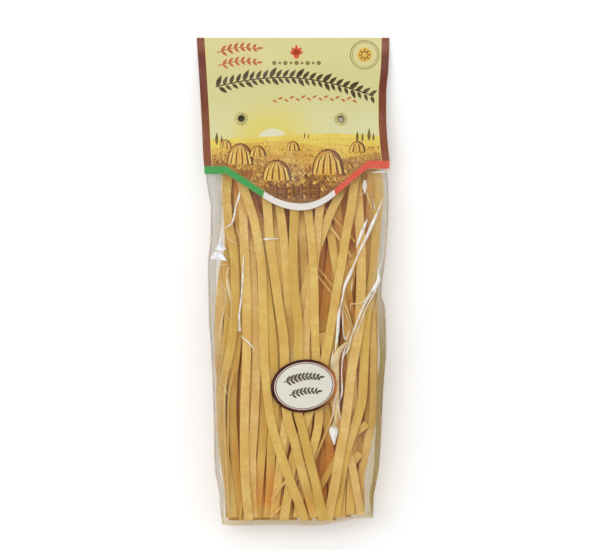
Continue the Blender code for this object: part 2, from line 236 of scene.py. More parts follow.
class Nodes:
    """Short calls that build a material's node tree."""

    def __init__(self, name):
        self.material = bpy.data.materials.new(name)
        self.material.use_nodes = True
        self.tree = self.material.node_tree
        self.tree.nodes.clear()

    def add(self, kind, inputs=None, **settings):
        node = self.tree.nodes.new(kind)
        for key, value in settings.items():
            setattr(node, key, value)
        for key, value in (inputs or {}).items():
            self.feed(node.inputs[key], value)
        return node

    def feed(self, socket, value):
        if isinstance(value, bpy.types.NodeSocket):
            self.tree.links.new(value, socket)
        elif isinstance(value, (tuple, list)) and len(value) == 3 and socket.type == "RGBA":
            socket.default_value = (*value, 1)
        else:
            socket.default_value = value

    def math(self, operation, a, b=0.0, c=0.0, clamp=False):
        node = self.add("ShaderNodeMath", operation=operation, use_clamp=clamp)
        for socket, value in zip(node.inputs, (a, b, c)):
            self.feed(socket, value)
        return node.outputs[0]

    def plus(self, a, b):
        return self.math("ADD", a, b)

    def minus(self, a, b):
        return self.math("SUBTRACT", a, b)

    def times(self, a, b):
        return self.math("MULTIPLY", a, b)

    def above(self, a, b):
        return self.math("GREATER_THAN", a, b)

    def smooth(self, value, low, high, start=0.0, end=1.0):
        """start below low, end above high, and a smooth step between."""
        ends = {"Value": value, "From Min": low, "From Max": high, "To Min": start, "To Max": end}
        node = self.add("ShaderNodeMapRange", ends, interpolation_type="SMOOTHSTEP")
        return node.outputs["Result"]

    def attribute(self, name):
        return self.add("ShaderNodeAttribute", attribute_name=name).outputs["Fac"]

    def mix(self, factor, a, b):
        node = self.add("ShaderNodeMix", data_type="RGBA")
        for key, value in ((0, factor), (6, a), (7, b)):
            self.feed(node.inputs[key], value)
        return node.outputs[2]

    def over(self, base, colour, value, low, high, start=0.0, end=1.0):
        """Lays a colour, given as seen, over the base as the value goes from low to high."""
        return self.mix(self.smooth(value, low, high, start, end), base, srgb(*colour))

    def vector(self, x, y, z=0.0):
        return self.add("ShaderNodeCombineXYZ", {"X": x, "Y": y, "Z": z}).outputs[0]

    def stretched(self, vector, share):
        """The same place with y counted less, so that noise runs along the bag."""
        return self.add("ShaderNodeMapping", {"Vector": vector, "Scale": (1, share, 1)}).outputs[0]

    def noise(self, vector, scale, detail=2.0, roughness=0.5):
        inputs = {"Vector": vector, "Scale": scale, "Detail": detail, "Roughness": roughness}
        return self.add("ShaderNodeTexNoise", inputs).outputs["Fac"]

    def place(self):
        """The surface's own coordinates, in metres."""
        return self.add("ShaderNodeTexCoord").outputs["Object"]

    def place_mm(self):
        """x, y and z of the surface in millimetres."""
        node = self.add("ShaderNodeSeparateXYZ", {0: self.place()})
        return [self.times(out, 1 / MM) for out in node.outputs]

    def ramp(self, factor, *stops):
        """Colours, given as seen, at places from 0 to 1."""
        node = self.add("ShaderNodeValToRGB", {"Fac": factor})
        ramp = node.color_ramp
        while len(ramp.elements) < len(stops):
            ramp.elements.new(0.5)
        for element, (place, colour) in zip(ramp.elements, stops):
            element.position = place
            element.color = (*srgb(*colour), 1)
        return node.outputs["Color"]

    def bump(self, height, strength, distance):
        inputs = {"Height": height, "Strength": strength, "Distance": distance}
        return self.add("ShaderNodeBump", inputs).outputs["Normal"]

    def principled(self, colour, roughness, **more):
        node = self.add("ShaderNodeBsdfPrincipled", {"Base Color": colour, "Roughness": roughness})
        for key, value in more.items():
            self.feed(node.inputs[key.replace("_", " ")], value)
        return node.outputs[0]

    def blend(self, factor, first, second):
        return self.add("ShaderNodeMixShader", {0: factor, 1: first, 2: second}).outputs[0]

    def film(self, cover, tint, face):
        """Clear tinted film, with the face on it where it covers."""
        clear = self.add("ShaderNodeBsdfTransparent", {"Color": tint}).outputs[0]
        return self.blend(cover, clear, face)

    def done(self, surface):
        self.add("ShaderNodeOutputMaterial", {"Surface": surface})
        return self.material


# Pasta ribbons

ROW = 2.0
COLUMN = 1.0
FIELD_X = np.arange(-66, 71, COLUMN)
FIELD_Y = np.arange(-167, 107, ROW)
THICK = 1.1
WIDTH = 6.0
BEND_ROWS = 4
ACROSS = np.linspace(-1, 1, 9)
FILM_SINK = 0.2  # how far the film is drawn down between the ribbons
CLEAR = 0.3  # room between the ribbons and the film

# The ribbons that show at the front, uppermost first: pixels of the middle line, width, roll
HERO = (
    (((300, 147), (295, 200), (293, 255), (295, 294), (299, 333), (298, 370), (297, 410), (303, 430),
      (307, 450), (315, 480), (319, 500), (323.5, 517)), 6.6, 1),
    (((261, 147), (267, 202), (270, 241), (273.5, 268), (279, 307), (284, 340), (285, 375), (286, 410),
      (294.5, 440), (299, 460), (304.5, 480), (310, 500), (314.5, 516)), 6.8, -2),
    (((233, 147), (239, 175), (248, 200), (255, 223), (258, 240), (262, 268), (263, 307), (264, 345),
      (266, 380), (268, 400), (271, 420), (276, 440), (283, 460), (290, 480), (298, 500),
      (304.5, 517)), 6.6, 2),
    (((362, 147), (354, 183), (351, 209), (347, 228), (342, 261), (337, 287), (333, 313), (329.6, 333),
      (325, 358), (318, 385), (310, 410), (301, 435), (293, 457), (290, 480), (287, 500),
      (284, 518)), 6.4, 0),
    (((353, 147), (358, 200), (361, 260), (360, 320), (356, 345), (350, 380), (347.5, 405), (345.5, 420),
      (342, 440), (338.5, 460), (335.5, 480), (331.5, 500), (328, 517)), 7.0, 3),
    (((302, 147), (308, 211), (312, 248), (314, 281), (314.6, 320), (316, 358), (318, 390), (319, 420),
      (312, 450), (303, 480), (297, 515)), 6.2, -3),
    (((382, 147), (380.5, 176), (379.5, 202), (377.5, 241), (371, 285), (366, 320), (364, 360),
      (362, 400),
      (356.5, 420), (349, 440), (344, 460), (339, 490), (336, 516)), 6.8, 6),
    (((242, 147), (243, 200), (245, 260), (247, 300), (247, 345), (245, 400), (244.5, 430), (244.5, 460),
      (246.5, 495), (249, 518)), 6.6, -1),
    (((322, 330), (328, 370), (336, 410), (343, 436), (349.5, 455), (353, 470), (355, 482), (358, 500),
      (361.5, 514)), 5.8, -4),
    (((369.5, 421.5), (362, 427), (353, 434), (343, 443)), 5.6, 4),
    (((360.5, 452), (354, 460), (347, 470), (339, 483)), 5.4, 4),
    (((316.5, 438.5), (310, 450), (303, 464), (296, 480)), 5.8, -3),
    (((333.5, 412), (328, 427), (322, 441), (313, 463), (306, 482)), 1.7, 0),
    (((346, 428), (340, 447), (333, 464), (319, 488), (311, 503)), 5.4, 35),
    (((229, 365), (225, 390), (224.5, 420), (226, 450), (227.5, 480), (229, 510)), 1.4, 10),
    (((234, 370), (228.8, 395), (228, 430), (228.5, 460), (230, 490)), 1.3, 0),
    (((243.5, 497), (241.5, 508), (240, 518)), 1.5, 0),
    (((288, 477), (279, 489), (271, 500)), 1.8, 0),
    (((284, 504), (277, 510), (271, 516)), 1.6, 0),
    (((232, 147), (228, 180), (226, 200), (228, 220), (235, 260), (235.5, 300), (232, 340), (225, 375),
      (221, 400), (222, 430), (226, 460), (231, 500), (233, 514)), 6.6, -6),
    (((236, 147), (238, 200), (241, 260), (241, 300), (237, 345), (232, 400), (234.5, 450), (236.5, 480),
      (239, 515)), 6.4, -3),
    (((334, 147), (322, 190), (319, 215), (316, 250), (310, 300), (305, 350), (309, 410), (305, 440),
      (296, 470), (288, 500), (283, 514)), 6.3, 4),
    (((350, 160), (342, 190), (331, 211), (322, 236), (312, 264), (303, 300), (297, 340), (291, 390),
      (283, 440), (276, 500), (274, 514)), 6.2, 2),
    (((300, 170), (313, 207), (323, 219), (333, 230), (341, 241), (352, 258)), 1.9, 20),
    (((309, 178), (321, 206), (332, 216), (344, 229), (356, 243)), 1.5, 30),
    (((299, 248), (309, 258.5), (320, 269.5), (333, 287), (340, 297)), 1.1, 0),
    (((299, 254), (308, 263), (318, 276), (326, 286), (334, 296)), 1.0, 0),
    (((341, 296), (346, 306), (350, 318), (353, 330)), 1.1, 0),
    (((343, 308), (347, 317), (351, 328)), 1.0, 0),
    (((366, 190), (370, 204), (376, 222), (379, 240)), 1.3, 15),
    (((262, 147), (272, 180), (280, 209), (284, 241), (288, 300), (291, 350), (288, 420), (281, 470),
      (277, 515)), 6.2, 5),
    (((247, 147), (252, 202), (260, 223), (263, 260), (268, 300), (273, 345), (275, 400), (271.5, 445),
      (270.5, 480), (268, 515)), 6.4, -4),
    (((249, 160), (252, 250), (255, 320), (257, 360), (255.5, 400), (254, 430), (252, 455), (252, 490),
      (254, 515)), 6.4, 6),
    (((258, 160), (260, 250), (264, 330), (265, 380), (263.5, 430), (262, 450), (260, 470), (258.5, 490),
      (256, 515)), 6.4, -5),
    (((310, 147), (318, 200), (330, 228), (333.5, 255), (337, 270), (343, 305), (350, 345), (353, 400),
      (352, 450), (350, 512)), 6.2, -6),
    (((372, 147), (370, 200), (366, 250), (361, 290), (356, 330), (352, 370), (346, 420), (343, 470),
      (341, 515)), 6.0, 8),
    (((366, 147), (362, 190), (360, 215), (364, 250), (369, 290), (373, 340), (373, 400), (370, 440),
      (365, 460), (361, 480), (356, 512)), 5.2, 14),
    (((383, 160), (384, 210), (380, 260), (375, 310), (371, 350), (369, 400), (367, 450),
      (364, 512)), 6.0, 12),
    (((292, 160), (300, 215), (304, 260), (306, 300), (309, 350), (325, 405), (329, 440), (332, 480),
      (334, 512)), 6.2, 3),
    (((275, 160), (277, 215), (279, 260), (281, 300), (277, 345), (276, 400), (280, 450),
      (278, 512)), 6.2, -6),
    (((224, 175), (222, 220), (226, 260), (229, 300), (226, 350), (219, 400), (218.5, 440), (224, 480),
      (229, 512)), 6.0, -14),
    (((340, 160), (337, 200), (339, 240), (346, 280), (351, 320), (353, 360), (349, 405), (360, 450),
      (364, 500)), 6.0, 4),
)


def columns_at(x):
    """The height fields' nearest columns."""
    return np.clip(np.rint((x - FIELD_X[0]) / COLUMN).astype(int), 0, len(FIELD_X) - 1)


def bump_kernel(reach):
    """Weights that fall off smoothly over so many neighbours at each side."""
    kernel = np.hanning(2 * reach + 3)[1:-1]
    return kernel / kernel.sum()


def lay(field, sign, rows, xs, halves, roll, slack):
    """Heights of a stiff ribbon's middle line, laid against a height field from its free side.

    sign is 1 for a ceiling that ribbons press up to and -1 for a floor that they lie on."""
    columns = columns_at(xs[:, None] + halves[:, None] * ACROSS)
    lift = ACROSS * halves[:, None] * math.tan(math.radians(roll))
    limit = (sign * (field[rows[:, None], columns] - lift)).min(axis=1)
    padded = np.pad(limit, BEND_ROWS, mode="edge")
    lowest = np.array([padded[i:i + 2 * BEND_ROWS + 1].min() for i in range(len(limit))])
    padded = np.pad(lowest, BEND_ROWS, mode="edge")
    base = sign * np.convolve(padded, bump_kernel(BEND_ROWS), mode="valid")
    surface = base[:, None] + lift - sign * (THICK + slack)
    for shift in (0, 1):
        at = np.clip(columns + shift, 0, len(FIELD_X) - 1)
        current = field[rows[:, None], at]
        field[rows[:, None], at] = np.where(sign * surface < sign * current, surface, current)
    return base - sign * THICK / 2


# How far the heap of ribbons reaches to each side, by y
heap_left = profile(
    (-163, -46), (-150, -46.3), (-115, -50.4), (-90, -52.8), (-44, -54.6), (-12, -52.5),
    (10, -50), (25, -46.5), (45, -47.5), (64, -49), (90, -48),
)
heap_right = profile(
    (-163, 49), (-150, 49), (-136, 48.5), (-122, 51), (-108, 54), (-90, 57.5),
    (-44, 58), (0, 57.8), (28, 59.5), (64, 62), (90, 56),
)


def keep_inside(xs, ys, zs, half):
    """Keeps a ribbon's middle line within the heap and clear of the bag's folded-in sides."""
    low, high = back_edge(ys), front_edge(ys)
    share = np.clip((zs - low) / (high - low), 0, 1)
    room = gusset_inset(ys) * np.sin(share * math.pi) ** 0.8 + half + 0.7
    left = np.maximum(bag_left(ys) + room, heap_left(ys) + half)
    right = np.minimum(bag_right(ys) - room, heap_right(ys) - half)
    return np.clip(xs, left, right)


def ribbon_rows(low, high):
    first = int(np.ceil((low - FIELD_Y[0]) / ROW))
    last = int(np.floor((high - FIELD_Y[0]) / ROW))
    return np.arange(first, last + 1).clip(0, len(FIELD_Y) - 1)


def lowest_end(x):
    """How far down a ribbon may reach at the bag's bottom."""
    return END + float(end_line(x)) + 1.6


def smoothed(values, rows):
    """A running mean that keeps the ends where they are, because dry ribbons bend slowly."""
    half = min(rows, 2 * (len(values) // 2) - 1) // 2
    if half < 1:
        return values
    before = 2 * values[0] - values[half:0:-1]
    after = 2 * values[-1] - values[-2:-half - 2:-1]
    padded = np.concatenate([before, values, after])
    return np.convolve(padded, bump_kernel(half), mode="valid")


BEND = 13  # rows over which a ribbon's line is smoothed


def solve_ribbon(field, sign, line, low, high, width, roll, slack):
    """A ribbon's middle line, laid against the field: arrays of x, y and z."""
    low = max(low, lowest_end(float(line(low))))
    rows = ribbon_rows(low, high)
    ys = FIELD_Y[rows]
    xs = smoothed(line(ys), BEND)
    xs = keep_inside(xs, ys, field[rows, columns_at(xs)] - sign * THICK, width / 2)
    halves = width / 2 * np.hypot(1, np.gradient(xs, ys))
    return xs, ys, lay(field, sign, rows, xs, halves, roll, slack)


# A ribbon's cross-section: places across, -1 to 1, and heights as shares of its thickness
SECTION = ((-1, -0.3), (-1, 0.34), (-0.95, 0.5), (-0.3, 0.5), (0.3, 0.5), (0.95, 0.5), (1, 0.34),
           (1, -0.3), (0.95, -0.5), (0.3, -0.5), (-0.3, -0.5), (-0.95, -0.5))
PLAIN_SECTION = ((-1, 0), (-0.9, 0.5), (0.9, 0.5), (1, 0), (0.9, -0.5), (-0.9, -0.5))

SHADE_START = 4.0  # painted shade: a ribbon this far inside the bag begins to be coloured darker and more orange
SHADE_SPAN = 9.0


class RibbonHeap:
    """Collects ribbons and makes one mesh of them."""

    def __init__(self):
        self.points = []
        self.faces = []
        self.count = 0
        self.looks = {"across": [], "along": [], "tone": [], "depth_shade": []}

    def add(self, xs, ys, zs, width, roll, tone, rng, section=SECTION, step=4.5):
        length = lengths_along(xs, ys)
        stations = max(int(length[-1] / step), 3)
        at = np.linspace(0, length[-1], stations + 1)
        line = np.stack([np.interp(at, length, values) for values in (xs, ys, zs)], axis=1)
        ahead = unit(np.gradient(line, axis=0))
        side = unit(np.cross(ahead, (0, 0, 1)))
        up = np.cross(side, ahead)
        phase = rng.uniform(0, 2 * math.pi, 4)
        twist = math.radians(roll) + math.radians(2.5) * np.sin(at / 31 + phase[0])
        uneven = 0.014 * np.sin(at / 17 + phase[1]) + 0.01 * np.sin(at / 5.3 + phase[2])
        half = width / 2 * (1 + uneven)
        cup = rng.uniform(-0.16, 0.3)
        turned_side = np.cos(twist)[:, None] * side + np.sin(twist)[:, None] * up
        turned_up = np.cos(twist)[:, None] * up - np.sin(twist)[:, None] * side
        rings = []
        for v, w in section:
            lift = w * THICK + cup * (v * v - 0.4) * min(width / WIDTH, 1)
            rings.append(line + turned_side * (v * half)[:, None] + turned_up * lift)
        points = np.stack(rings, axis=1).reshape(-1, 3)
        px, py, pz = points.T
        floor = back_height(px, py) + CLEAR
        roof = front_height(px, py) - FILM_SINK - CLEAR
        points[:, 2] = np.clip(pz, floor, np.maximum(roof, floor + 0.1))
        grid = numbered(stations + 1, len(section), self.count)
        self.faces += quads(around(grid)) + [grid[0, ::-1].tolist(), grid[-1].tolist()]
        self.points.append(points)
        self.count += len(points)
        # How far inside the bag each point lies, which sets its painted shade
        depths = (
            front_height(px, py) - pz, pz - back_height(px, py),
            px - bag_left(py) - 5, bag_right(py) - px - 5, py - END - 4,
        )
        depth_shade = np.clip((np.minimum.reduce(depths) - SHADE_START) / SHADE_SPAN, 0, 1)
        across = np.tile([v for v, _ in section], stations + 1)
        along = np.repeat(at + rng.uniform(0, 5000), len(section))
        for key, values in zip(self.looks, (across, along, np.full(len(points), tone), depth_shade)):
            self.looks[key].append(values)

    def mesh(self, name):
        mesh = grid_mesh(name, np.concatenate(self.points), self.faces)
        for key, values in self.looks.items():
            store(mesh, key, np.concatenate(values))
        mesh.set_sharp_from_angle(angle=math.radians(32))
        return mesh


def hero_line(pixels):
    """The curve through the pixels, and its ends along y."""
    points = sorted((y, x) for x, y in (plan(*pixel) for pixel in pixels))
    return profile(*points), points[0][0], points[-1][0]


def random_line(rng, x_low, x_high, spread):
    """A long ribbon's middle line: nearly straight, with one slow bend."""
    top = rng.uniform(x_low, x_high)
    bottom = np.clip(top * 0.9 + rng.normal(0, spread), x_low, x_high)
    bow = rng.normal(0, 2.2)
    wave = rng.normal(0, 0.9)
    phase = rng.uniform(0, 6)

    def line(y):
        t = (np.asarray(y, float) + 160) / 250
        x = bottom + (top - bottom) * t + 4 * bow * t * (1 - t) + wave * np.sin(y / 26 + phase)
        return np.clip(x, heap_left(y) + WIDTH / 2, heap_right(y) - WIDTH / 2)

    return line


RIBBON_LONG = 247
LOWEST_START = -164.5
HERO_SHARE = 0.92  # of the width that the photograph's lines were given
HERO_REACH = 2.6
FLOOR_RIBBONS = 34
FLAT_RIBBONS = 15  # so many of them, the first, lie almost flat
MOST_FILL = 150
WIDE_FILL = 22  # so many of the fill, the first, lie more askew
CLOSE_FILL = 40  # so many lie close under those above them
FINE_FILL = 60  # so many are made in full detail
FULL = 3  # less room than this, in millimetres, and the bag is full


def field_cells(line, low, high):
    """Rows and columns of the height fields under a line."""
    rows = ribbon_rows(low, high)
    return rows, columns_at(line(FIELD_Y[rows]))


def best_line(rng, tries, x_low, x_high, spread, highest_start, score):
    """The best of several random lines by score(rows, columns): its score, line and lower end."""
    best = None
    for _ in range(tries):
        line = random_line(rng, x_low, x_high, spread)
        low = rng.uniform(LOWEST_START, highest_start)
        value = score(*field_cells(line, low, low + RIBBON_LONG))
        if best is None or value > best[0]:
            best = (value, line, low)
    return best


def build_pasta():
    """The front ribbons as in the photograph, then a floor of ribbons, then the fill between."""
    rng = np.random.default_rng(41)
    heap = RibbonHeap()
    grid_x, grid_y = np.meshgrid(FIELD_X, FIELD_Y)
    ceiling = front_height(grid_x, grid_y) - FILM_SINK - CLEAR
    ground = back_height(grid_x, grid_y) + 0.35

    for pixels, width, roll in HERO:
        line, low, high = hero_line(pixels)
        reach = HERO_REACH if low < -150 else 0
        width *= HERO_SHARE
        path = solve_ribbon(ceiling, 1, line, low - reach, high, width, roll, 0.1)
        heap.add(*path, width, roll, rng.uniform(0.0, 1.0), rng, step=4.0)

    def lowness(rows, columns):
        return -ground[rows, columns].mean()

    for number in range(FLOOR_RIBBONS):
        _, line, low = best_line(rng, 8, -50, 56, 8, -160.5, lowness)
        roll = rng.normal(0, 3 if number < FLAT_RIBBONS else 9)
        path = solve_ribbon(ground, -1, line, low, low + RIBBON_LONG, WIDTH, roll, 0.15)
        heap.add(*path, WIDTH, roll, rng.uniform(0, 1), rng, step=6.0)

    def room_under(rows, columns):
        return (ceiling[rows, columns] - ground[rows, columns])[: len(rows) * 2 // 3].mean()

    for number in range(MOST_FILL):
        spread = 13 if number < WIDE_FILL else 9
        room, line, low = best_line(rng, 14, -51, 57, spread, -159.5, room_under)
        if room < FULL:
            break
        high = low + RIBBON_LONG
        rows, columns = field_cells(line, low, high)
        blocked = (FIELD_Y[rows] >= 40) & (ceiling[rows, columns] - ground[rows, columns] <= 1.6)
        if blocked.any():
            high = FIELD_Y[rows][blocked].min() - 2
        close = number < CLOSE_FILL
        roll = rng.normal(0, 3 if close else 10)
        slack = abs(rng.normal(0.05, 0.15) if close else rng.normal(0.9, 0.8))
        width = WIDTH * rng.uniform(0.82, 1.1)
        xs, ys, zs = solve_ribbon(ceiling, 1, line, low, high, width, roll, slack)
        zs = np.maximum(zs, back_height(xs, ys) + 1.5)
        section, step = (SECTION, 5.5) if number < FINE_FILL else (PLAIN_SECTION, 9.0)
        heap.add(xs, ys, zs, width, roll, rng.uniform(0, 1), rng, section, step)
    print("ribbons", len(heap.points), "room left", room, "faces", len(heap.faces))
    return add_object("pasta_ribbons", heap.mesh("pasta_ribbons"))


def pasta_material():
    n = Nodes("dry_egg_pasta")
    across, along, tone, depth_shade = (n.attribute(key) for key in ("across", "along", "tone", "depth_shade"))
    place = n.place()
    base = n.ramp(
        tone,
        (0.0, (236, 196, 132)), (0.25, (233, 198, 120)), (0.5, (233, 200, 116)),
        (0.7, (222, 188, 90)), (0.85, (214, 180, 80)), (1.0, (206, 172, 70)),
    )
    streaks = n.noise(n.vector(n.times(across, 2.2), n.times(along, 0.014), tone), 3.0, 4)
    from_middle = n.math("ABSOLUTE", across)
    for colour, value, *steps in (
        ((236, 206, 124), streaks, 0.35, 0.75, 0.0, 0.75),
        ((212, 162, 72), n.noise(place, 70, 3), 0.34, 0.66, 0.5, 0.0),
        ((208, 160, 70), n.noise(place, 380, 3, 0.65), 0.38, 0.62, 0.36, 0.0),
        ((180, 126, 48), n.noise(place, 2200, 1), 0.68, 0.78, 0.0, 0.35),
        # the rims lighter, partly the rough cut edge and partly a painted highlight; the cut sides more
        # orange
        ((240, 210, 128), from_middle, 0.9, 0.97, 0.0, 0.4),
        ((242, 160, 64), from_middle, 0.975, 0.998, 0.0, 0.5),
        # painted shade: ribbons deep inside the bag are coloured darker and more orange
        ((236, 176, 74), depth_shade, 0.0, 0.4, 0.0, 0.4),
        ((228, 132, 46), depth_shade, 0.3, 1.0, 0.0, 0.62),
    ):
        base = n.over(base, colour, value, *steps)
    grain = n.noise(place, 900, 4, 0.6)
    return n.done(n.principled(
        base, n.smooth(grain, 0.3, 0.7, 0.42, 0.6),
        Normal=n.bump(grain, 0.5, 0.00012), Specular_IOR_Level=0.35,
        Subsurface_Weight=0.25, Subsurface_Radius=(1.0, 0.55, 0.2), Subsurface_Scale=0.0022,
    ))


# Film

# Folds and creases of the front film: pixels of the line, its widths in pixels, its height in
# millimetres, and how much its painted white highlight hides of what lies under it
FOLDS = (
    (((382.5, 198), (377, 213), (373, 222), (366, 238), (360, 250), (354, 264), (350, 274), (345, 285),
      (342, 299), (338.5, 316), (337.5, 332), (335, 351)),
     (0.4, 1.8, 3.6, 2.6, 2.2, 1.6, 3.2, 2.8, 1.4, 3.2, 3.0, 0.6), 0.7, 0.92),
    (((367.4, 218.5), (363, 229), (358.8, 240), (356, 247)), (0.3, 3.3, 2.2, 0.8), 0.6, 0.92),
    (((372.5, 199), (374.5, 209)), (0.6, 1.0), 0.3, 0.7),
    (((366, 194), (369, 201), (372.5, 209)), (0.5, 0.9, 0.4), 0.3, 0.5),
    (((381, 262), (378, 272), (378.6, 279), (375.5, 286), (371.5, 292)),
     (0.8, 1.8, 4.2, 4.6, 2.0), 0.6, 0.85),
    (((373, 289), (365, 303), (360, 314), (355, 327), (351, 337), (348, 349), (343, 356)),
     (3.4, 2.6, 2.4, 2.2, 1.8, 1.8, 0.6), 0.6, 0.62),
    (((376, 290), (368, 304), (363, 316), (358, 329), (354, 340)), (1.6, 1.0, 1.0, 0.9, 0.4), 0.3, 0.8),
    (((369, 293), (362.5, 302), (355, 303.8), (351, 303.5), (350, 311)),
     (0.8, 1.8, 1.4, 1.2, 0.5), 0.4, 0.5),
    (((343, 299), (347, 309), (350.5, 320)), (0.6, 1.2, 0.5), 0.3, 0.45),
    (((343.5, 309), (347, 318), (350.5, 328)), (0.6, 1.2, 0.5), 0.3, 0.45),
    (((343, 304), (342.6, 320), (343.4, 333), (345.4, 339), (350.2, 328)),
     (0.6, 1.2, 1.6, 2.2, 0.5), 0.4, 0.65),
    (((352, 278), (351.6, 285), (351, 292)), (0.8, 2.0, 0.6), 0.4, 0.5),
    (((387, 205), (386.3, 222), (385.6, 240), (384, 256)), (0.6, 1.6, 1.3, 0.4), 0.4, 0.4),
    (((240.2, 191), (239, 197), (235.7, 208.6), (233.6, 219.3), (231.5, 224), (225, 228)),
     (0.4, 2.0, 1.3, 2.2, 1.5, 0.5), 0.5, 0.85),
    (((222.9, 176), (221.8, 188), (223.6, 199)), (0.7, 1.2, 0.6), 0.3, 0.55),
    (((263.5, 239.6), (267, 239.2), (272, 239), (278, 238.9)), (0.9, 2.4, 1.2, 0.9), 0.3, 0.8),
    (((227.9, 237), (231.5, 241), (237.5, 243.8)), (0.6, 1.2, 0.5), 0.3, 0.5),
    (((236.4, 228.6), (239, 234), (240.8, 241)), (0.5, 1.0, 0.5), 0.3, 0.5),
    (((208, 270), (217, 266.6), (228, 264.3)), (0.5, 1.0, 0.5), 0.3, 0.55),
    (((228.8, 266), (227.2, 277), (228.8, 289), (231.4, 303), (232, 315)),
     (0.8, 2.6, 3.6, 1.4, 0.5), 0.5, 0.5),
    (((243.8, 255), (243, 277), (241.5, 298), (239.4, 318), (240, 331)),
     (0.7, 1.9, 1.7, 1.7, 2.9), 0.6, 0.9),
    (((241, 336), (247.8, 341.4), (254.5, 349)), (0.8, 1.5, 0.5), 0.4, 0.85),
    (((220, 280), (226, 293), (223.6, 313), (220.7, 331), (219.3, 347)),
     (0.5, 1.3, 1.5, 1.3, 0.5), 0.4, 0.4),
    (((225, 313), (231.4, 321.4)), (0.5, 1.0), 0.3, 0.4),
    (((220, 378), (224.5, 386), (228, 395)), (0.5, 1.3, 0.5), 0.3, 0.4),
    (((346, 342), (339, 351), (335, 361), (336.5, 376), (337.5, 399), (335.5, 418), (333, 428)),
     (1.5, 6.0, 8.5, 5.0, 2.6, 2.8, 3.6), 0.5, 0.5),
    (((333, 350), (331.4, 360), (333, 376), (335.4, 392), (333.4, 410), (331.5, 421)),
     (0.5, 1.1, 1.3, 0.8, 1.2, 0.6), 0.4, 0.75),
    (((347.5, 342), (343, 355), (341.5, 372), (342, 390), (338.5, 406), (339.5, 418)),
     (0.6, 1.6, 1.0, 1.5, 0.9, 1.4), 0.4, 0.75),
    (((337, 372), (338, 390), (336.4, 405), (337, 420)), (0.4, 1.0, 0.6, 1.0), 0.3, 0.5),
    (((333.4, 425.5), (333.5, 428.5), (333.7, 436), (334.2, 444)), (4.5, 8.4, 5.6, 1.4), 0.5, 0.75),
    (((371.5, 173), (380, 172), (388, 172)), (1.0, 1.8, 1.2), 0.4, 0.75),
    (((358.5, 195.5), (362, 193.5), (366, 192.6)), (0.5, 1.2, 0.6), 0.3, 0.4),
    (((378.5, 246), (377.5, 262), (374.5, 277)), (0.5, 1.2, 0.5), 0.3, 0.35),
    (((364.8, 180.5), (364.6, 186.5), (364.8, 193)), (2.2, 5.2, 1.2), 0.6, 1.0),
)
WING_FOLDS = 46
FILM_TOP = 38.9  # just under the solids' highest place
# Flat facets painted white as reflections of the light: corners in pixels
FACETS = (
    ((220.7, 237), (215.5, 249.8), (221.5, 250.8), (226.4, 249.6), (224.4, 246), (221.8, 247.2)),
    ((215.7, 251.6), (210.4, 258.4), (218, 259.8), (227, 260.8), (223.4, 255), (219, 253)),
)


def value_noise(xs, ys, seed, cell_x, cell_y):
    """Smooth noise from -1 to 1 with cells of the given size."""
    rng = np.random.default_rng(seed)
    table = rng.uniform(-1, 1, (97, 97))
    u, v = xs / cell_x + 500.3, ys / cell_y + 500.7
    i, j = np.floor(u).astype(int), np.floor(v).astype(int)
    fu, fv = u - i, v - j
    fu, fv = fu * fu * (3 - 2 * fu), fv * fv * (3 - 2 * fv)
    pick = lambda a, b: table[(i + a) % 97, (j + b) % 97]
    low = pick(0, 0) * (1 - fu) + pick(1, 0) * fu
    high = pick(0, 1) * (1 - fu) + pick(1, 1) * fu
    return low * (1 - fv) + high * fv


def end_shift(x):
    """How far the bottom edge lies above its lowest place, kept within the solid's reach."""
    return np.maximum(end_line(x), -0.08)


def header_fade(y):
    """1 along the filled bag, and 0 where the card covers the film."""
    return np.clip((HEADER_START - 8 - y) / 20, 0, 1)


def film_height(x, y):
    """Height of the front film: drawn down between the ribbons, and held flat under the sticker."""
    away = np.hypot((x - LABEL[0]) / (LABEL_LONG + 3), (y - LABEL[1]) / (LABEL_SHORT + 3))
    flat = 1 - np.clip((away - 0.9) / 0.25, 0, 1)
    ripple = 0.2 * value_noise(x, y, 5, 7, 34) + 0.1 * value_noise(x, y, 6, 3.2, 12)
    return front_height(x, y) + (ripple * (1 - flat) - FILM_SINK + 0.45 * flat) * header_fade(y)


FRONT_U = np.linspace(-1, 1, 240)
BACK_U = np.linspace(1, -1, 44)
SIDE_SHARE = np.linspace(0, 1, 9)[1:-1]
SIDE_DEPTH = np.sin(SIDE_SHARE * math.pi) ** 0.8
FILM_END_ROWS = (-166.5, -166.2, -165.6, -164.6, -163.4, -162)  # close together at the end fold


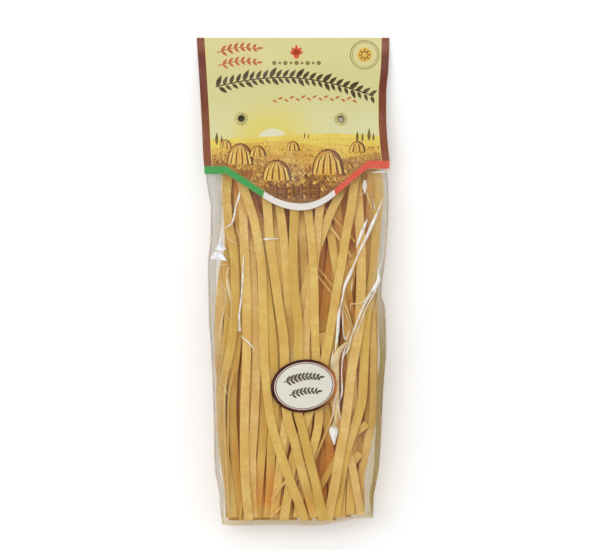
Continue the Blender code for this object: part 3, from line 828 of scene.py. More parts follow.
def film_ring(y):
    """The film's cross-section at y, and at each of its points the share of folded film."""
    left, right = float(bag_left(y)), float(bag_right(y))
    blend = min(max((END_START - y) / (END_START - END), 0), 1)

    def strip(x, z, end_x):
        return np.stack([x, y + blend * end_shift(end_x), z], 1)

    front_x = left + (right - left) * (FRONT_U + 1) / 2
    flat = front_height(front_x, y)
    inner = np.clip((1 - np.abs(FRONT_U)) / 0.02, 0, 1)
    front = strip(front_x, flat + inner * (film_height(front_x, y) - flat), front_x)

    back_x = left + (right - left) * (BACK_U + 1) / 2
    back = strip(back_x, back_height(back_x, y), back_x)
    sag = 0.25 * (1 - np.abs(BACK_U) ** 4) * header_fade(y)
    back[:, 2] += sag * (0.5 + 0.5 * value_noise(back_x, back[:, 1], 9, 6, 20))

    folded = np.ones(len(SIDE_SHARE))
    crinkle = 0.9 * value_noise(folded * y, SIDE_SHARE * 10, 11, 9, 2.5) * SIDE_DEPTH
    bend = float(gusset_inset(y)) * SIDE_DEPTH
    crinkle = crinkle * (y < HEADER_START) * 0.5
    side_z = front_edge(y) + (back_edge(y) - front_edge(y)) * SIDE_SHARE
    right_side = strip(np.minimum(right - bend + crinkle, right), side_z, folded * right)
    left_side = strip(np.maximum(left + bend + crinkle, left), side_z[::-1], folded * left)

    end_fold = math.exp(-(((y - END) / 4.0) ** 2))
    near_edge = np.exp(-((np.minimum(front_x - left, right - front_x) / 7.0) ** 2))
    wing = (np.maximum(near_edge, end_fold), folded, np.full(len(BACK_U), end_fold), folded)
    return np.concatenate([front, right_side, back, left_side]), np.concatenate(wing)


def build_film():
    """The bag's film as one closed skin: front, folded-in sides, back, and the flat mouth."""
    filled = np.linspace(-160.6, HEADER_START, 284)
    ys = np.concatenate([FILM_END_ROWS, filled, np.linspace(107, 163.5, 20)])
    rings, wings = zip(*(film_ring(y) for y in ys))
    grid = numbered(len(rings), len(rings[0]))
    faces = quads(around(grid)) + [grid[0, ::-1].tolist(), grid[-1].tolist()]
    mesh = grid_mesh("clear_film", np.concatenate(rings), faces)
    store(mesh, "wing", np.concatenate(wings))
    film = add_object("clear_film", mesh)
    turn_outward(mesh, split=True)
    print("film faces", len(mesh.polygons))
    return film


def film_material():
    """Clear film: see-through, faintly hazed, greyer where its sides are folded in, and tinted darker
    olive towards the lower right and beige at the bottom end.
    """
    n = Nodes("clear_film")
    wing = n.attribute("wing")
    place = n.place()
    x, y, _ = n.place_mm()
    streak = n.noise(n.stretched(place, 0.22), 160, 3)
    pleat = n.noise(n.stretched(place, 0.15), 210, 3, 0.55)
    calmer = n.smooth(x, -20, 20, 0.4, 1.0)
    pleat = n.math("MULTIPLY_ADD", n.minus(pleat, 0.5), calmer, 0.5)
    folded = n.times(wing, n.smooth(pleat, 0.35, 0.7, 0.09, 0.2))
    haze = n.plus(n.smooth(streak, 0.5, 0.85, 0.0, 0.035), n.smooth(y, -30, 50, 0.0, 0.022))
    haze = n.math("ADD", haze, folded, clamp=True)
    # a darker, olive tint and haze towards the lower right side, and a beige one at the bottom end
    warm_side = n.times(n.smooth(x, 40, 54), n.smooth(y, 20, -70))
    end = n.smooth(y, -157, -163)
    grey = n.mix(n.smooth(pleat, 0.35, 0.65), (0.885, 0.88, 0.85), (0.93, 0.93, 0.91))
    grey = n.mix(warm_side, grey, (0.76, 0.70, 0.50))
    grey = n.mix(end, grey, (0.93, 0.87, 0.72))
    tint = n.mix(wing, (0.99, 0.99, 0.985), grey)
    haze_colour = n.mix(n.math("MAXIMUM", warm_side, end), (0.92, 0.92, 0.9), srgb(214, 194, 144))
    scuff = n.principled(haze_colour, 0.25, Specular_IOR_Level=0.8)
    uneven = n.bump(n.noise(place, 260, 2), 0.35, 0.0004)
    gloss = {"Color": (1, 1, 1), "Roughness": 0.07, "Normal": uneven}
    shine = n.add("ShaderNodeBsdfGlossy", gloss).outputs[0]
    facing = n.add("ShaderNodeLayerWeight", {"Blend": 0.5}).outputs["Facing"]
    fresnel = n.math("MULTIPLY_ADD", n.math("POWER", facing, 5.0), 0.75, 0.02)
    return n.done(n.blend(fresnel, n.film(haze, tint, scuff), shine))


# A fold's cross-section: places across, -1 to 1, and shares of its height
FOLD_SECTION = ((-1, -0.25), (-0.6, 0.3), (0.0, 1.0), (0.5, 0.35), (1, -0.25))


def fold_mesh(rng):
    """Every fold as a low ridge with sharp flanks that stands on the film."""
    points, faces, veils, flanks = [], [], [], []

    def ridge(line, widths, rise, veil):
        line = np.array([plan(*pixel) for pixel in line])
        at = lengths_along(*line.T)
        steps = np.linspace(0, at[-1], max(int(at[-1] / 1.1), 4) + 1)
        xs, ys = (profile(*zip(at, values))(steps) for values in line.T)
        half = profile(*zip(at, np.array(widths) * PHOTO_SCALE / 2))(steps)
        seed = int(rng.integers(1000))
        half = half * (1 + 0.16 * value_noise(steps, steps * 0, seed, 3.5, 9))
        lean = 0.45 * value_noise(steps, steps * 0 + 4, seed, 5, 9)
        ahead = unit(np.stack([np.gradient(xs), np.gradient(ys)], 1))
        grid = numbered(len(FOLD_SECTION), len(steps), sum(map(len, points))).T
        for v, w in FOLD_SECTION:
            across = half * (v + lean * (w > 0.9))
            px, py = xs - ahead[:, 1] * across, ys + ahead[:, 0] * across
            lift = np.where(w < 0, -0.2, w * np.minimum(rise, half * 0.42))
            pz = np.minimum(film_height(px, py) + lift, FILM_TOP)
            points.append(np.stack([px, py, pz], 1))
            veils.append(np.full(len(steps), veil))
            flanks.append(np.full(len(steps), v))
        faces.extend(quads(around(grid)) + [grid[0].tolist(), grid[-1, ::-1].tolist()])

    for fold in FOLDS:
        ridge(*fold)
    for _ in range(WING_FOLDS):
        py = rng.uniform(185, 500)
        y = plan(0, py)[1]
        on_left = rng.random() < 0.5
        edge = float(bag_left(y)) if on_left else float(bag_right(y))
        inward, share = (1, 0.6) if on_left else (-1, 1)
        x = edge / PHOTO_SCALE + PHOTO_CENTRE[0] + inward * rng.uniform(2.5, 10)
        long, slant = rng.uniform(5, 26), rng.normal(0, 2.2)
        line = [(x, py), (x + slant * 0.6, py + long / 2), (x + slant, py + long)]
        ridge(line, (0.3, rng.uniform(0.5, 1.1), 0.3), 0.3, rng.uniform(0.15, 0.5) * share)
    mesh = grid_mesh("film_folds", np.concatenate(points), faces)
    store(mesh, "veil", np.concatenate(veils))
    store(mesh, "flank", np.concatenate(flanks))
    mesh.set_sharp_from_angle(angle=math.radians(25))
    return mesh


def fold_material():
    """Creased film: painted white as the light's reflection, partly also whitened by the crease, and
    half clear in between.
    """
    n = Nodes("film_fold")
    place = n.place()
    veil = n.attribute("veil")
    flank = n.attribute("flank")
    broken = n.noise(place, 150, 2, 0.5)
    cover = n.times(veil, n.smooth(broken, 0.3, 0.6, 0.7, 1.15))
    # painted shade: the painted highlight thins towards one flank
    cover = n.math("MULTIPLY", cover, n.smooth(flank, -0.2, 1.0, 1.0, 0.72), clamp=True)
    # painted highlight: white on strong folds, cream on faint ones
    glint_colour = n.over(srgb(248, 240, 226), (255, 253, 248), broken, 0.4, 0.6)
    white = n.principled(
        n.mix(n.smooth(veil, 0.5, 0.62), srgb(255, 236, 184), glint_colour), 0.3,
        Normal=n.bump(n.noise(place, 300, 2), 0.15, 0.0003), Specular_IOR_Level=0.8,
    )
    return n.done(n.film(cover, (0.97, 0.96, 0.93), white))


def facet_glint_material():
    n = Nodes("film_facet")
    cloud = n.noise(n.place(), 300, 3)
    # painted reflection: near-white facets where the film mirrors the light
    colour = n.over(srgb(232, 232, 236), (252, 252, 255), cloud, 0.35, 0.65)
    face = n.principled(colour, 0.2, Specular_IOR_Level=0.8, Normal=n.bump(cloud, 0.3, 0.0004))
    return n.done(n.film(n.smooth(cloud, 0.3, 0.5, 0.8, 1.0), (0.97, 0.97, 0.96), face))


def build_folds():
    mesh = fold_mesh(np.random.default_rng(17))
    turn_outward(mesh)
    as_piece(add_object("film_folds", mesh), "film", fold_material())
    facets = Motifs(film_height, 0.25)
    for outline in FACETS:
        facets.add([plan(*corner) for corner in outline], 0)
    facets.made("film_facets", (facet_glint_material(),), "film")


# Header card

FOLD_Y = 166.7
card_left = profile((168, -66), (138, -64), (110.5, -62.4), (87, -61.3), (74, -60.3), (48, -59.6))
card_right = profile(
    (168, 66), (147, 65.3), (128, 63.7), (110.5, 63.7), (101, 64.2), (92, 64.9), (82, 65.9), (48, 66)
)
HEM_MIDDLE = 5.4
HEM_LOW = 48.5
HEM_LEFT = (24.6, 50.9, 73.3)
HEM_RIGHT = (22.6, 45.4, 77.0)
BAND = 6.6  # the width of a side band, with the line beside it
EYELETS = ((-35.3, 111.0), (32.6, 110.6))
EYELET_HOLE = 2.5


def hem_y(x):
    """The card's lower edge: a bowl with straight flanks, and a level tab at each side."""
    x = np.asarray(x, float)
    heights = []
    for bowl, tab, tab_y in (HEM_LEFT, HEM_RIGHT):
        slope = (tab_y - HEM_LOW) / (tab - bowl / 2)
        away = np.abs(x - HEM_MIDDLE)
        flank = np.minimum(HEM_LOW + slope * (away - bowl / 2), tab_y)
        heights.append(np.where(away < bowl, HEM_LOW + slope * away * away / (2 * bowl), flank))
    return np.where(x < HEM_MIDDLE, *heights)


def card_slack(y):
    return np.clip((HEADER_START - np.asarray(y, float)) / 8, 0, 1) * 0.5


def card_top(x, y):
    """Height of the card's printed front."""
    return front_height(x, y) + GAP + CARD + card_slack(y)


def card_bottom(x, y):
    """Height of the card's printed back."""
    return back_height(x, y) - GAP - CARD - card_slack(y)


def card_strip(hem_x):
    """The card's middle layer from hem to hem, along the line that starts at hem_x."""
    radius = FILM_HALF + (GAP + CARD / 2)
    bend_y = FOLD_Y - radius - CARD / 2
    low = float(hem_y(hem_x))
    share = (hem_x - float(card_left(low))) / (float(card_right(low)) - float(card_left(low)))

    def across(y):
        return card_left(y) + share * (card_right(y) - card_left(y))

    rows = np.concatenate([
        np.linspace(low, HEADER_START, 22)[:-1], np.linspace(HEADER_START, bend_y, 16)
    ])
    x = across(rows)
    front = np.stack([x, rows, card_top(x, rows) - CARD / 2], 1)
    back = np.stack([x, rows, card_bottom(x, rows) + CARD / 2], 1)[::-1]
    turn = math.pi / 2 - math.pi * np.arange(1, 8) / 8
    fold_y = bend_y + radius * np.cos(turn)
    fold_z = header_height(bend_y) + radius * np.sin(turn)
    return np.concatenate([front, np.stack([across(fold_y), fold_y, fold_z], 1), back])


def build_card():
    """The folded card, thickened from its middle layer, with the eyelets' holes cut through."""
    corners = [
        float(card_left(HEM_LEFT[2])), HEM_MIDDLE - HEM_LEFT[1], HEM_MIDDLE - HEM_LEFT[0], HEM_MIDDLE,
        HEM_MIDDLE + HEM_RIGHT[0], HEM_MIDDLE + HEM_RIGHT[1], float(card_right(HEM_RIGHT[2])),
    ]
    columns = [corners[0]]
    for start, end, count in zip(corners, corners[1:], (5, 14, 12, 12, 12, 8)):
        columns += list(np.linspace(start, end, count + 1)[1:])
    strips = [card_strip(hem_x) for hem_x in columns]
    count = len(strips[0])
    mesh = grid_mesh("card", np.concatenate(strips), quads(numbered(len(strips), count).T))
    on_back = np.repeat(np.arange(count - 1) >= count // 2, len(strips) - 1)
    mesh.polygons.foreach_set("material_index", on_back.astype(int).tolist())
    card = add_object("printed_card", mesh)
    front, back, board = card_front_material(), card_back_material(), board_material()
    for material in (front, back, board, board):
        mesh.materials.append(material)
    solid = card.modifiers.new("board", "SOLIDIFY")
    solid.thickness = CARD * MM
    solid.offset = 0
    solid.material_offset = 2
    solid.material_offset_rim = 2
    cutters = []
    for x, y in EYELETS:
        bpy.ops.mesh.primitive_cylinder_add(vertices=32, radius=EYELET_HOLE * MM, depth=10 * MM)
        cutter = bpy.context.object
        cutter.location = (x * MM, y * MM, float(header_height(y)) * MM)
        cutter.rotation_euler = (-math.atan(HEADER_SLOPE), 0, 0)
        cut = card.modifiers.new("hole", "BOOLEAN")
        cut.operation = "DIFFERENCE"
        cut.object = cutter
        cutters.append(cutter)
    bpy.context.view_layer.update()
    made = bpy.data.meshes.new_from_object(card.evaluated_get(bpy.context.evaluated_depsgraph_get()))
    card.modifiers.clear()
    card.data = made
    for cutter in cutters:
        bpy.data.objects.remove(cutter)
    x, y, _ = (points_of(made) / MM).T
    store(made, "hem", y - hem_y(x))
    store(made, "side_left", x - card_left(y))
    store(made, "side_right", card_right(y) - x)
    made.set_sharp_from_angle(angle=math.radians(40))
    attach(card, "root")
    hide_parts("header_card")
    return card


def print_finish(n, colour, place):
    """Coated board: fine print grain, faint handling marks and a satin face."""
    marks = n.noise(place, 45, 4, 0.6)
    colour = n.over(colour, (120, 96, 40), n.noise(place, 2600, 2, 0.6), 0.3, 0.7, 0.0, 0.06)
    colour = n.over(colour, (255, 250, 225), marks, 0.45, 0.75, 0.0, 0.07)
    rough = n.smooth(marks, 0.3, 0.7, 0.32, 0.46)
    normal = n.bump(n.noise(place, 420, 3), 0.2, 0.00008)
    return n.principled(colour, rough, Normal=normal, Specular_IOR_Level=0.45)


def bands(n, colour, x, y):
    """Brown side bands and the three-coloured band along the lower edge."""
    edge = n.math("MINIMUM", n.attribute("side_left"), n.attribute("side_right"))
    line = n.times(n.smooth(edge, 5.4, 6.2, 1.0, 0.0), 0.7)
    colour = n.mix(line, colour, srgb(232, 215, 130))
    brown = n.over(srgb(138, 72, 42), (108, 40, 26), y, 85, 150)
    brown = n.over(brown, (136, 70, 48), y, 152, 162)
    colour = n.mix(n.smooth(edge, 5.1, 5.35, 1.0, 0.0), colour, brown)
    rise = n.minus(y, 62)
    on_white = n.above(n.plus(x, n.times(rise, -0.28)), -19.3)
    on_red = n.above(n.plus(x, n.times(rise, 0.25)), 28.2)
    flag = n.mix(on_white, srgb(66, 158, 78), srgb(232, 226, 220))
    flag = n.mix(on_red, flag, srgb(224, 88, 68))
    away = n.math("ABSOLUTE", n.minus(x, HEM_MIDDLE))
    width = n.add("ShaderNodeMapRange", {0: away, 1: 20.0, 2: 40.0, 3: 4.6, 4: 5.4}).outputs[0]
    return n.mix(n.math("LESS_THAN", n.attribute("hem"), width), colour, flag)


# Hills of the printed field, from the far one: base, swell, wave, phase and wobble of its line,
# then its light, dark and shadow colours, and how its stubble rows lie
HILLS = (
    (99.5, 1.8, 0.045, 0.6, 5, (240, 220, 108), (228, 200, 78), (224, 184, 78), 1.5, 0.1),
    (93.5, 2.6, 0.06, 2.3, 4, (242, 214, 104), (208, 154, 56), (196, 138, 58), 1.2, -0.25),
    (84.0, 3.6, 0.052, 4.4, 6, (228, 180, 88), (150, 92, 40), (128, 76, 40), 1.0, 0.35),
    (72.0, 3.8, 0.075, 0.2, 5, (214, 158, 76), (122, 72, 36), (104, 62, 36), 0.8, -0.45),
)


def card_front_material():
    """A pale sky with a low sun, the hills of a field, and the bands."""
    n = Nodes("card_front_print")
    place = n.place()
    x, y, _ = n.place_mm()
    colour = n.ramp(
        n.smooth(y, 96, 168),
        (0.0, (222, 218, 166)), (0.35, (216, 211, 146)), (0.7, (217, 209, 143)), (1.0, (224, 215, 150)),
    )
    up = n.times(n.minus(y, 97), 1.3)
    squares = (n.math("POWER", n.minus(x, -14), 2.0), n.math("POWER", up, 2.0))
    sun = n.math("SQRT", n.plus(*squares))
    colour = n.over(colour, (226, 208, 84), sun, 10, 44, 0.75, 0.0)
    colour = n.over(colour, (228, 224, 190), sun, 9.4, 9.9, 1.0, 0.0)
    wobble = n.minus(n.noise(n.vector(n.times(x, 0.03), 0.0), 1.0, 2), 0.5)
    for base, swell, wave, phase, wobbles, light, dark, shadow, rows, lean in HILLS:
        line = n.times(n.math("SINE", n.plus(n.times(x, wave), phase)), swell)
        line = n.plus(n.plus(line, base), n.times(wobble, wobbles))
        along = n.math("MULTIPLY_ADD", x, lean, n.times(n.minus(y, line), rows))
        stubble = n.noise(n.vector(n.times(x, 0.5), along), 1.3, 4, 0.7)
        patch = n.noise(n.vector(n.times(x, 0.045), n.times(y, 0.11)), 1.0, 3)
        foot = n.minus(line, y)
        face = n.over(srgb(*dark), light, stubble, 0.38, 0.62)
        face = n.over(face, shadow, patch, 0.42, 0.66, 0.0, 0.6)
        face = n.over(face, shadow, foot, 2.0, 15.0, 0.0, 0.5)
        colour = n.mix(n.smooth(foot, 0.0, 0.4), colour, face)
    return n.done(print_finish(n, bands(n, colour, x, y), place))


def card_back_material():
    n = Nodes("card_back_print")
    place = n.place()
    x, y, _ = n.place_mm()
    colour = n.over(srgb(222, 206, 120), (220, 213, 150), y, 60, 160)
    return n.done(print_finish(n, bands(n, colour, x, y), place))


def board_material():
    n = Nodes("bare_board")
    fibre = n.noise(n.place(), 1400, 4, 0.7)
    colour = n.over(srgb(226, 220, 204), (240, 236, 224), fibre, 0.3, 0.7)
    return n.done(n.principled(colour, 0.8, Normal=n.bump(fibre, 0.3, 0.00008)))


# Eyelets

PETALS = 11
PETAL_POINTS = 11
DARK_DISC_RING = 1

def build_eyelet(name, x, y, spin, shut):
    """A pressed eyelet: a rolled throat, and a collar split into petals that lie on the card.

    A shut one is closed by discs across its throat, one near its bottom, which the brass colours dark as
    painted shade."""
    seat = FILM_HALF + GAP + CARD
    stations = PETAL_POINTS * PETALS
    # Radius, height and how far each ring is split into petals, round the section
    rings = (
        (1.9, -seat - 0.55, 0), (1.84, -seat - 0.2, 0), (1.82, 0, 0), (1.84, seat + 0.25, 0),
        (1.94, seat + 0.62, 0), (2.2, seat + 0.78, 0), (2.6, seat + 0.68, 0.15),
        (3.2, seat + 0.42, 0.7), (4.0, seat + 0.34, 1), (4.45, seat + 0.28, 1),
        (4.5, seat + 0.16, 1), (4.0, seat + 0.1, 1), (3.2, seat + 0.08, 0.6),
        (2.35, seat + 0.06, 0), (2.2, seat - 0.1, 0), (2.2, 0, 0), (2.2, -seat + 0.1, 0),
        (2.4, -seat - 0.08, 0), (3.3, -seat - 0.1, 0), (3.5, -seat - 0.2, 0),
        (3.3, -seat - 0.34, 0), (2.4, -seat - 0.6, 0), (2.0, -seat - 0.66, 0),
    )
    angle = 2 * math.pi * np.arange(stations) / stations
    part = np.arange(stations) % PETAL_POINTS / PETAL_POINTS
    notch = np.maximum(0.0, 1 - np.abs(part - 0.5) / 0.16)
    points = []
    for radius, height, split in rings:
        r = radius - split * notch * 0.95
        z = height - split * notch * 0.12 + split * 0.1 * np.sin(3 * angle + spin)
        points.append(np.stack([r * np.cos(angle + spin), r * np.sin(angle + spin), z], 1))
    grid = numbered(len(rings), stations)
    order = np.roll(grid, -DARK_DISC_RING - 1, axis=0)
    if shut:
        faces = quads(around(order)) + grid[DARK_DISC_RING:DARK_DISC_RING + 2].tolist()
    else:
        faces = quads(around(np.concatenate([order, order[:1]])))
    mesh = grid_mesh(name, np.concatenate(points), faces)
    turn = math.atan(HEADER_SLOPE)
    co = points_of(mesh)
    turned = co.copy()
    turned[:, 1] = co[:, 1] * math.cos(turn) + co[:, 2] * math.sin(turn)
    turned[:, 2] = co[:, 2] * math.cos(turn) - co[:, 1] * math.sin(turn)
    turned += np.array([x, y, float(header_height(y))]) * MM
    mesh.vertices.foreach_set("co", turned.astype(np.float32).ravel())
    store(mesh, "reach", np.hypot(co[:, 0], co[:, 1]) / MM)
    turn_outward(mesh)
    return add_object(name, mesh)


def brass_material():
    """Pale tarnished brass, with painted shade inside the throat."""
    n = Nodes("eyelet_brass")
    place = n.place()
    colour = n.over(srgb(216, 208, 142), (184, 168, 98), n.noise(place, 700, 3), 0.35, 0.7)
    # painted shade: dark inside the throat, and on the discs that close a shut one
    colour = n.over(colour, (50, 40, 22), n.attribute("reach"), 1.95, 2.7, 0.95, 0.0)
    rough = n.smooth(n.noise(place, 1500, 2), 0.3, 0.7, 0.24, 0.42)
    return n.done(n.principled(colour, rough, Metallic=0.35))


# Sticker

LABEL = (7.7, -71.2)
LABEL_LONG = 22.9
LABEL_SHORT = 18.0
LABEL_TILT = math.radians(8)
LABEL_THICK = 0.3
LABEL_SIDES = 120
LABEL_RINGS = (0.2, 0.4, 0.6, 0.75, 0.83, 0.86, 0.89, 0.92, 0.95, 0.98, 1.0)
FOIL_START = 0.898


def label_place(along, up):
    x = LABEL[0] + along * math.cos(LABEL_TILT) - up * math.sin(LABEL_TILT)
    y = LABEL[1] + along * math.sin(LABEL_TILT) + up * math.cos(LABEL_TILT)
    return x, y


def label_top(x, y):
    return front_height(x, y) + GAP + 0.05 + LABEL_THICK


def build_label():
    """The sticker: rings from the middle of its front to the rim, which is bent down a little."""
    angles = 2 * math.pi * np.arange(LABEL_SIDES) / LABEL_SIDES
    rings = []
    for share in LABEL_RINGS:
        x, y = label_place(LABEL_LONG * share * np.cos(angles), LABEL_SHORT * share * np.sin(angles))
        rings.append(np.stack([x, y, label_top(x, y) - (0.12 if share == 1.0 else 0)], 1))
    rings.append(np.stack([x, y, label_top(x, y) - LABEL_THICK], 1))
    top = float(label_top(*LABEL))
    middle = [[*LABEL, top], [*LABEL, top - LABEL_THICK]]
    grid = around(numbered(len(rings), LABEL_SIDES, len(middle))).T
    faces = quads(grid)
    faces += [(0, a, b) for a, b in zip(grid[:-1, 0].tolist(), grid[1:, 0].tolist())]
    faces += [(1, b, a) for a, b in zip(grid[:-1, -1].tolist(), grid[1:, -1].tolist())]
    mesh = grid_mesh("oval_label", np.concatenate([middle, *rings]), faces)
    store(mesh, "rim", np.concatenate([[0, 0], np.repeat([*LABEL_RINGS, 1.0], LABEL_SIDES)]))
    mesh.set_sharp_from_angle(angle=math.radians(50))
    return add_object("oval_label", mesh)


def label_material():
    """A cream face, a thin dark line, a pale ring and a dark red foil rim, with a painted orange
    reflection on the foil's right side.
    """
    n = Nodes("label_print")
    place = n.place()
    x, _, _ = n.place_mm()
    rim = n.attribute("rim")
    on_foil = n.above(rim, FOIL_START)
    face = n.over(srgb(222, 218, 202), (230, 227, 214), n.noise(place, 60, 3), 0.3, 0.7)
    foil = n.over(srgb(52, 22, 20), (96, 44, 36), n.noise(place, 150, 2), 0.35, 0.65)
    # painted reflection: the foil turns orange towards its right side
    foil = n.over(foil, (190, 120, 62), x, 16, 30)
    colour = n.mix(n.above(rim, 0.842), face, srgb(70, 52, 44))
    colour = n.mix(n.above(rim, 0.868), colour, srgb(226, 204, 190))
    colour = n.mix(on_foil, colour, foil)
    rough = n.smooth(rim, 0.9, 0.92, 0.4, 0.22)
    metal = n.times(on_foil, 0.6)
    return n.done(n.principled(colour, rough, Metallic=metal, Specular_IOR_Level=0.5))


# Printed motifs, as thin closed shapes that follow the surface under them

DRAPE_ROUNDS = 4
DRAPE_EDGE = 3.0  # an edge longer than this is halved, so that it follows the surface
STEP_UP = 0.02  # how far print that lies on other print stands above it


class Motifs:
    """Collects shapes as thin prisms, flat at first, that made() drapes over a surface."""

    def __init__(self, height_of, lift):
        self.height_of = height_of
        self.lift = lift
        self.shape = bmesh.new()

    def add(self, outline, slot):
        tops, feet = (
            [self.shape.verts.new((x * MM, y * MM, level * MM)) for x, y in outline]
            for level in (self.lift, -0.05)
        )
        made = [self.shape.faces.new(tops), self.shape.faces.new(feet[::-1])]
        for i in range(len(outline)):
            j = (i + 1) % len(outline)
            made.append(self.shape.faces.new((tops[j], tops[i], feet[i], feet[j])))
        for face in made:
            face.material_index = slot

    def leaf(self, x, y, angle, length, width, slot):
        """A leaf from its stalk at (x, y): two arcs that meet in a point."""
        c, s = math.cos(angle), math.sin(angle)
        shares = np.linspace(0, 1, 7)
        belly = np.sin(math.pi * shares ** 0.8) * width / 2
        upper = [(t * length, b) for t, b in zip(shares, belly)]
        lower = [(t * length, -b * 0.8) for t, b in zip(shares[-2:0:-1], belly[-2:0:-1])]
        self.add([(x + u * c - v * s, y + u * s + v * c) for u, v in upper + lower], slot)

    def disc(self, x, y, radius, slot, sides=20):
        turns = [2 * math.pi * i / sides for i in range(sides)]
        self.add([(x + radius * math.cos(t), y + radius * math.sin(t)) for t in turns], slot)

    def ring(self, x, y, radius, width, slot, sides=48):
        for i in range(sides):
            a, b = 2 * math.pi * i / sides, 2 * math.pi * (i + 1) / sides
            corners = ((radius, a), (radius, b), (radius - width, b), (radius - width, a))
            self.add([(x + r * math.cos(t), y + r * math.sin(t)) for r, t in corners], slot)

    def stroke(self, line, widths, slot):
        """A ribbon of print along a line, with a width at each of its points."""
        line = np.array(line, float)
        ahead = unit(np.gradient(line, axis=0))
        side = np.stack([-ahead[:, 1], ahead[:, 0]], 1) * (np.array(widths, float) / 2)[:, None]
        low, high = line - side, line + side
        for i in range(len(line) - 1):
            self.add([low[i], low[i + 1], high[i + 1], high[i]], slot)

    def made(self, name, materials, slot_name):
        """Drapes the shapes and makes one piece of them."""
        bmesh.ops.remove_doubles(self.shape, verts=self.shape.verts, dist=1e-7)
        bmesh.ops.recalc_face_normals(self.shape, faces=self.shape.faces)
        bmesh.ops.triangulate(self.shape, faces=self.shape.faces)
        for _ in range(DRAPE_ROUNDS):
            long = [edge for edge in self.shape.edges if edge.calc_length() > DRAPE_EDGE * MM]
            bmesh.ops.subdivide_edges(self.shape, edges=long, cuts=1)
            bmesh.ops.triangulate(self.shape, faces=self.shape.faces)
        mesh = bpy.data.meshes.new(name)
        self.shape.to_mesh(mesh)
        self.shape.free()
        co = points_of(mesh)
        co[:, 2] += self.height_of(co[:, 0] / MM, co[:, 1] / MM) * MM
        mesh.vertices.foreach_set("co", co.ravel())
        return as_piece(add_object(name, mesh), slot_name, *materials)


def ink_material(name, colour, worn, scale=240):
    """Printed ink, with patches of a second colour where it is worn."""
    n = Nodes(name)
    place = n.place()
    shade = n.over(srgb(*colour), worn, n.noise(place, scale, 3, 0.6), 0.35, 0.7)
    return n.done(print_finish(n, shade, place))


INKS = (
    ("ink_dark", (62, 44, 16), (84, 60, 24)),
    ("ink_orange", (190, 92, 58), (206, 116, 76)),
    ("ink_red", (214, 78, 48), (222, 96, 60)),
    ("ink_olive", (122, 112, 58), (140, 126, 70)),
    ("ink_gold", (222, 180, 62), (232, 198, 92)),
    ("ink_tree", (96, 84, 34), (128, 104, 44)),
    ("ink_straw", (240, 208, 118), (228, 188, 84), 500),
    ("ink_amber", (214, 158, 66), (198, 136, 52), 500),
    ("ink_rust", (166, 104, 46), (146, 86, 40), 500),
    ("ink_bark", (112, 68, 34), (96, 56, 30), 500),
)
DARK, ORANGE, RED, OLIVE, GOLD, TREE, STRAW, AMBER, RUST, BARK = range(len(INKS))
FAR_INKS = (STRAW, STRAW, AMBER, AMBER)
NEAR_INKS = (*FAR_INKS, RUST, BARK)
MEADOW_ROWS = 15
MEADOW_TOP = 95.0
MEADOW_LOW = 54.0
# Heaps of cut stalks from the far ones to the near: x, y, width and height
HAYSTACKS = (
    (-46, 91, 8, 6), (0, 89, 9, 7), (44, 88, 11, 8), (-24, 85, 11, 8), (-36, 79.5, 18, 15),
    (24, 72.5, 22, 18), (-11, 68.5, 20, 14.5),
)
# Slender trees on the horizon: x, y and height
TREES = (
    (-52, 93, 9), (-48.6, 92.6, 7), (-46, 92.2, 5.5), (44, 95, 8), (47.5, 95.3, 6.5),
    (52, 95.6, 9.5), (55, 95.8, 6.0), (8, 97.5, 4.5), (10.5, 97.2, 3.8),
)


def garland(motifs):
    """An arched branch of paired leaves across the card."""
    def turn(t):
        return math.pi * (0.12 + 0.80 * t)

    def height(t):
        return 128 + 13.5 * math.sin(turn(t)) - 4.5 * t

    for i in range(24):
        t = i / 23
        x, y = -52 + 104 * t, height(t)
        ahead = math.atan(13.5 * math.pi * 0.80 * math.cos(turn(t)) / 106 - 4.5 / 106)
        size = 1.0 if i % 4 else 1.25
        motifs.leaf(x, y, ahead + 0.95, 7.0 * size, 2.9 * size, DARK)
        motifs.leaf(x + 1.3, y - 0.2, ahead - 0.85, 5.6 * size, 2.5 * size, DARK)
    line = [(-53 + 108 * t, height(t)) for t in np.linspace(0, 1, 40)]
    motifs.stroke(line, [0.8] * 40, DARK)


def sprig(motifs, x, y, length, angle, pairs, leaf, slot):
    """A slightly bowed stalk with pairs of leaves and one at its tip."""
    c, s = math.cos(angle), math.sin(angle)

    def on_stalk(t):
        return x + length * t * c, y + length * t * s + 0.08 * length * math.sin(math.pi * t)

    line = [on_stalk(t) for t in np.linspace(0, 1, 12)]
    motifs.stroke(line, np.linspace(0.7, 0.3, 12), slot)
    for i in range(pairs):
        t = (i + 0.7) / (pairs + 0.2)
        for lean in (0.8, -0.8):
            motifs.leaf(*on_stalk(t), angle + lean, leaf * (1.1 - 0.4 * t), leaf * 0.42, slot)
    motifs.leaf(x + length * c, y + length * s, angle, leaf, leaf * 0.4, slot)


def meadow(motifs, rng):
    """Rows of blades on the lower card, small at the far side and larger towards the hem."""
    for row in range(MEADOW_ROWS):
        share = row / (MEADOW_ROWS - 1)
        size = 1.5 + 4.2 * share ** 1.3
        level = MEADOW_TOP - (MEADOW_TOP - MEADOW_LOW) * share ** 0.9
        x = -58 + rng.uniform(0, 2)
        while x < 60:
            x += size * rng.uniform(0.35, 0.75)
            y = level + 1.6 * math.sin(0.05 * x + 0.8 * row) + rng.uniform(-0.5, 0.5) * size * 0.4
            lean = math.pi / 2 + (0.5 if row % 2 else -0.5) + rng.normal(0, 0.28)
            length = size * rng.uniform(0.8, 1.3)
            tip_x = x + length * math.cos(lean)
            left = min(x, tip_x) - float(card_left(y))
            right = float(card_right(y)) - max(x, tip_x)
            if min(left, right) > BAND and y - float(hem_y(x)) > 6.2:
                ink = int(rng.choice(FAR_INKS if y > 92 else NEAR_INKS))
                motifs.leaf(x, y, lean, length, length * 0.24, ink)


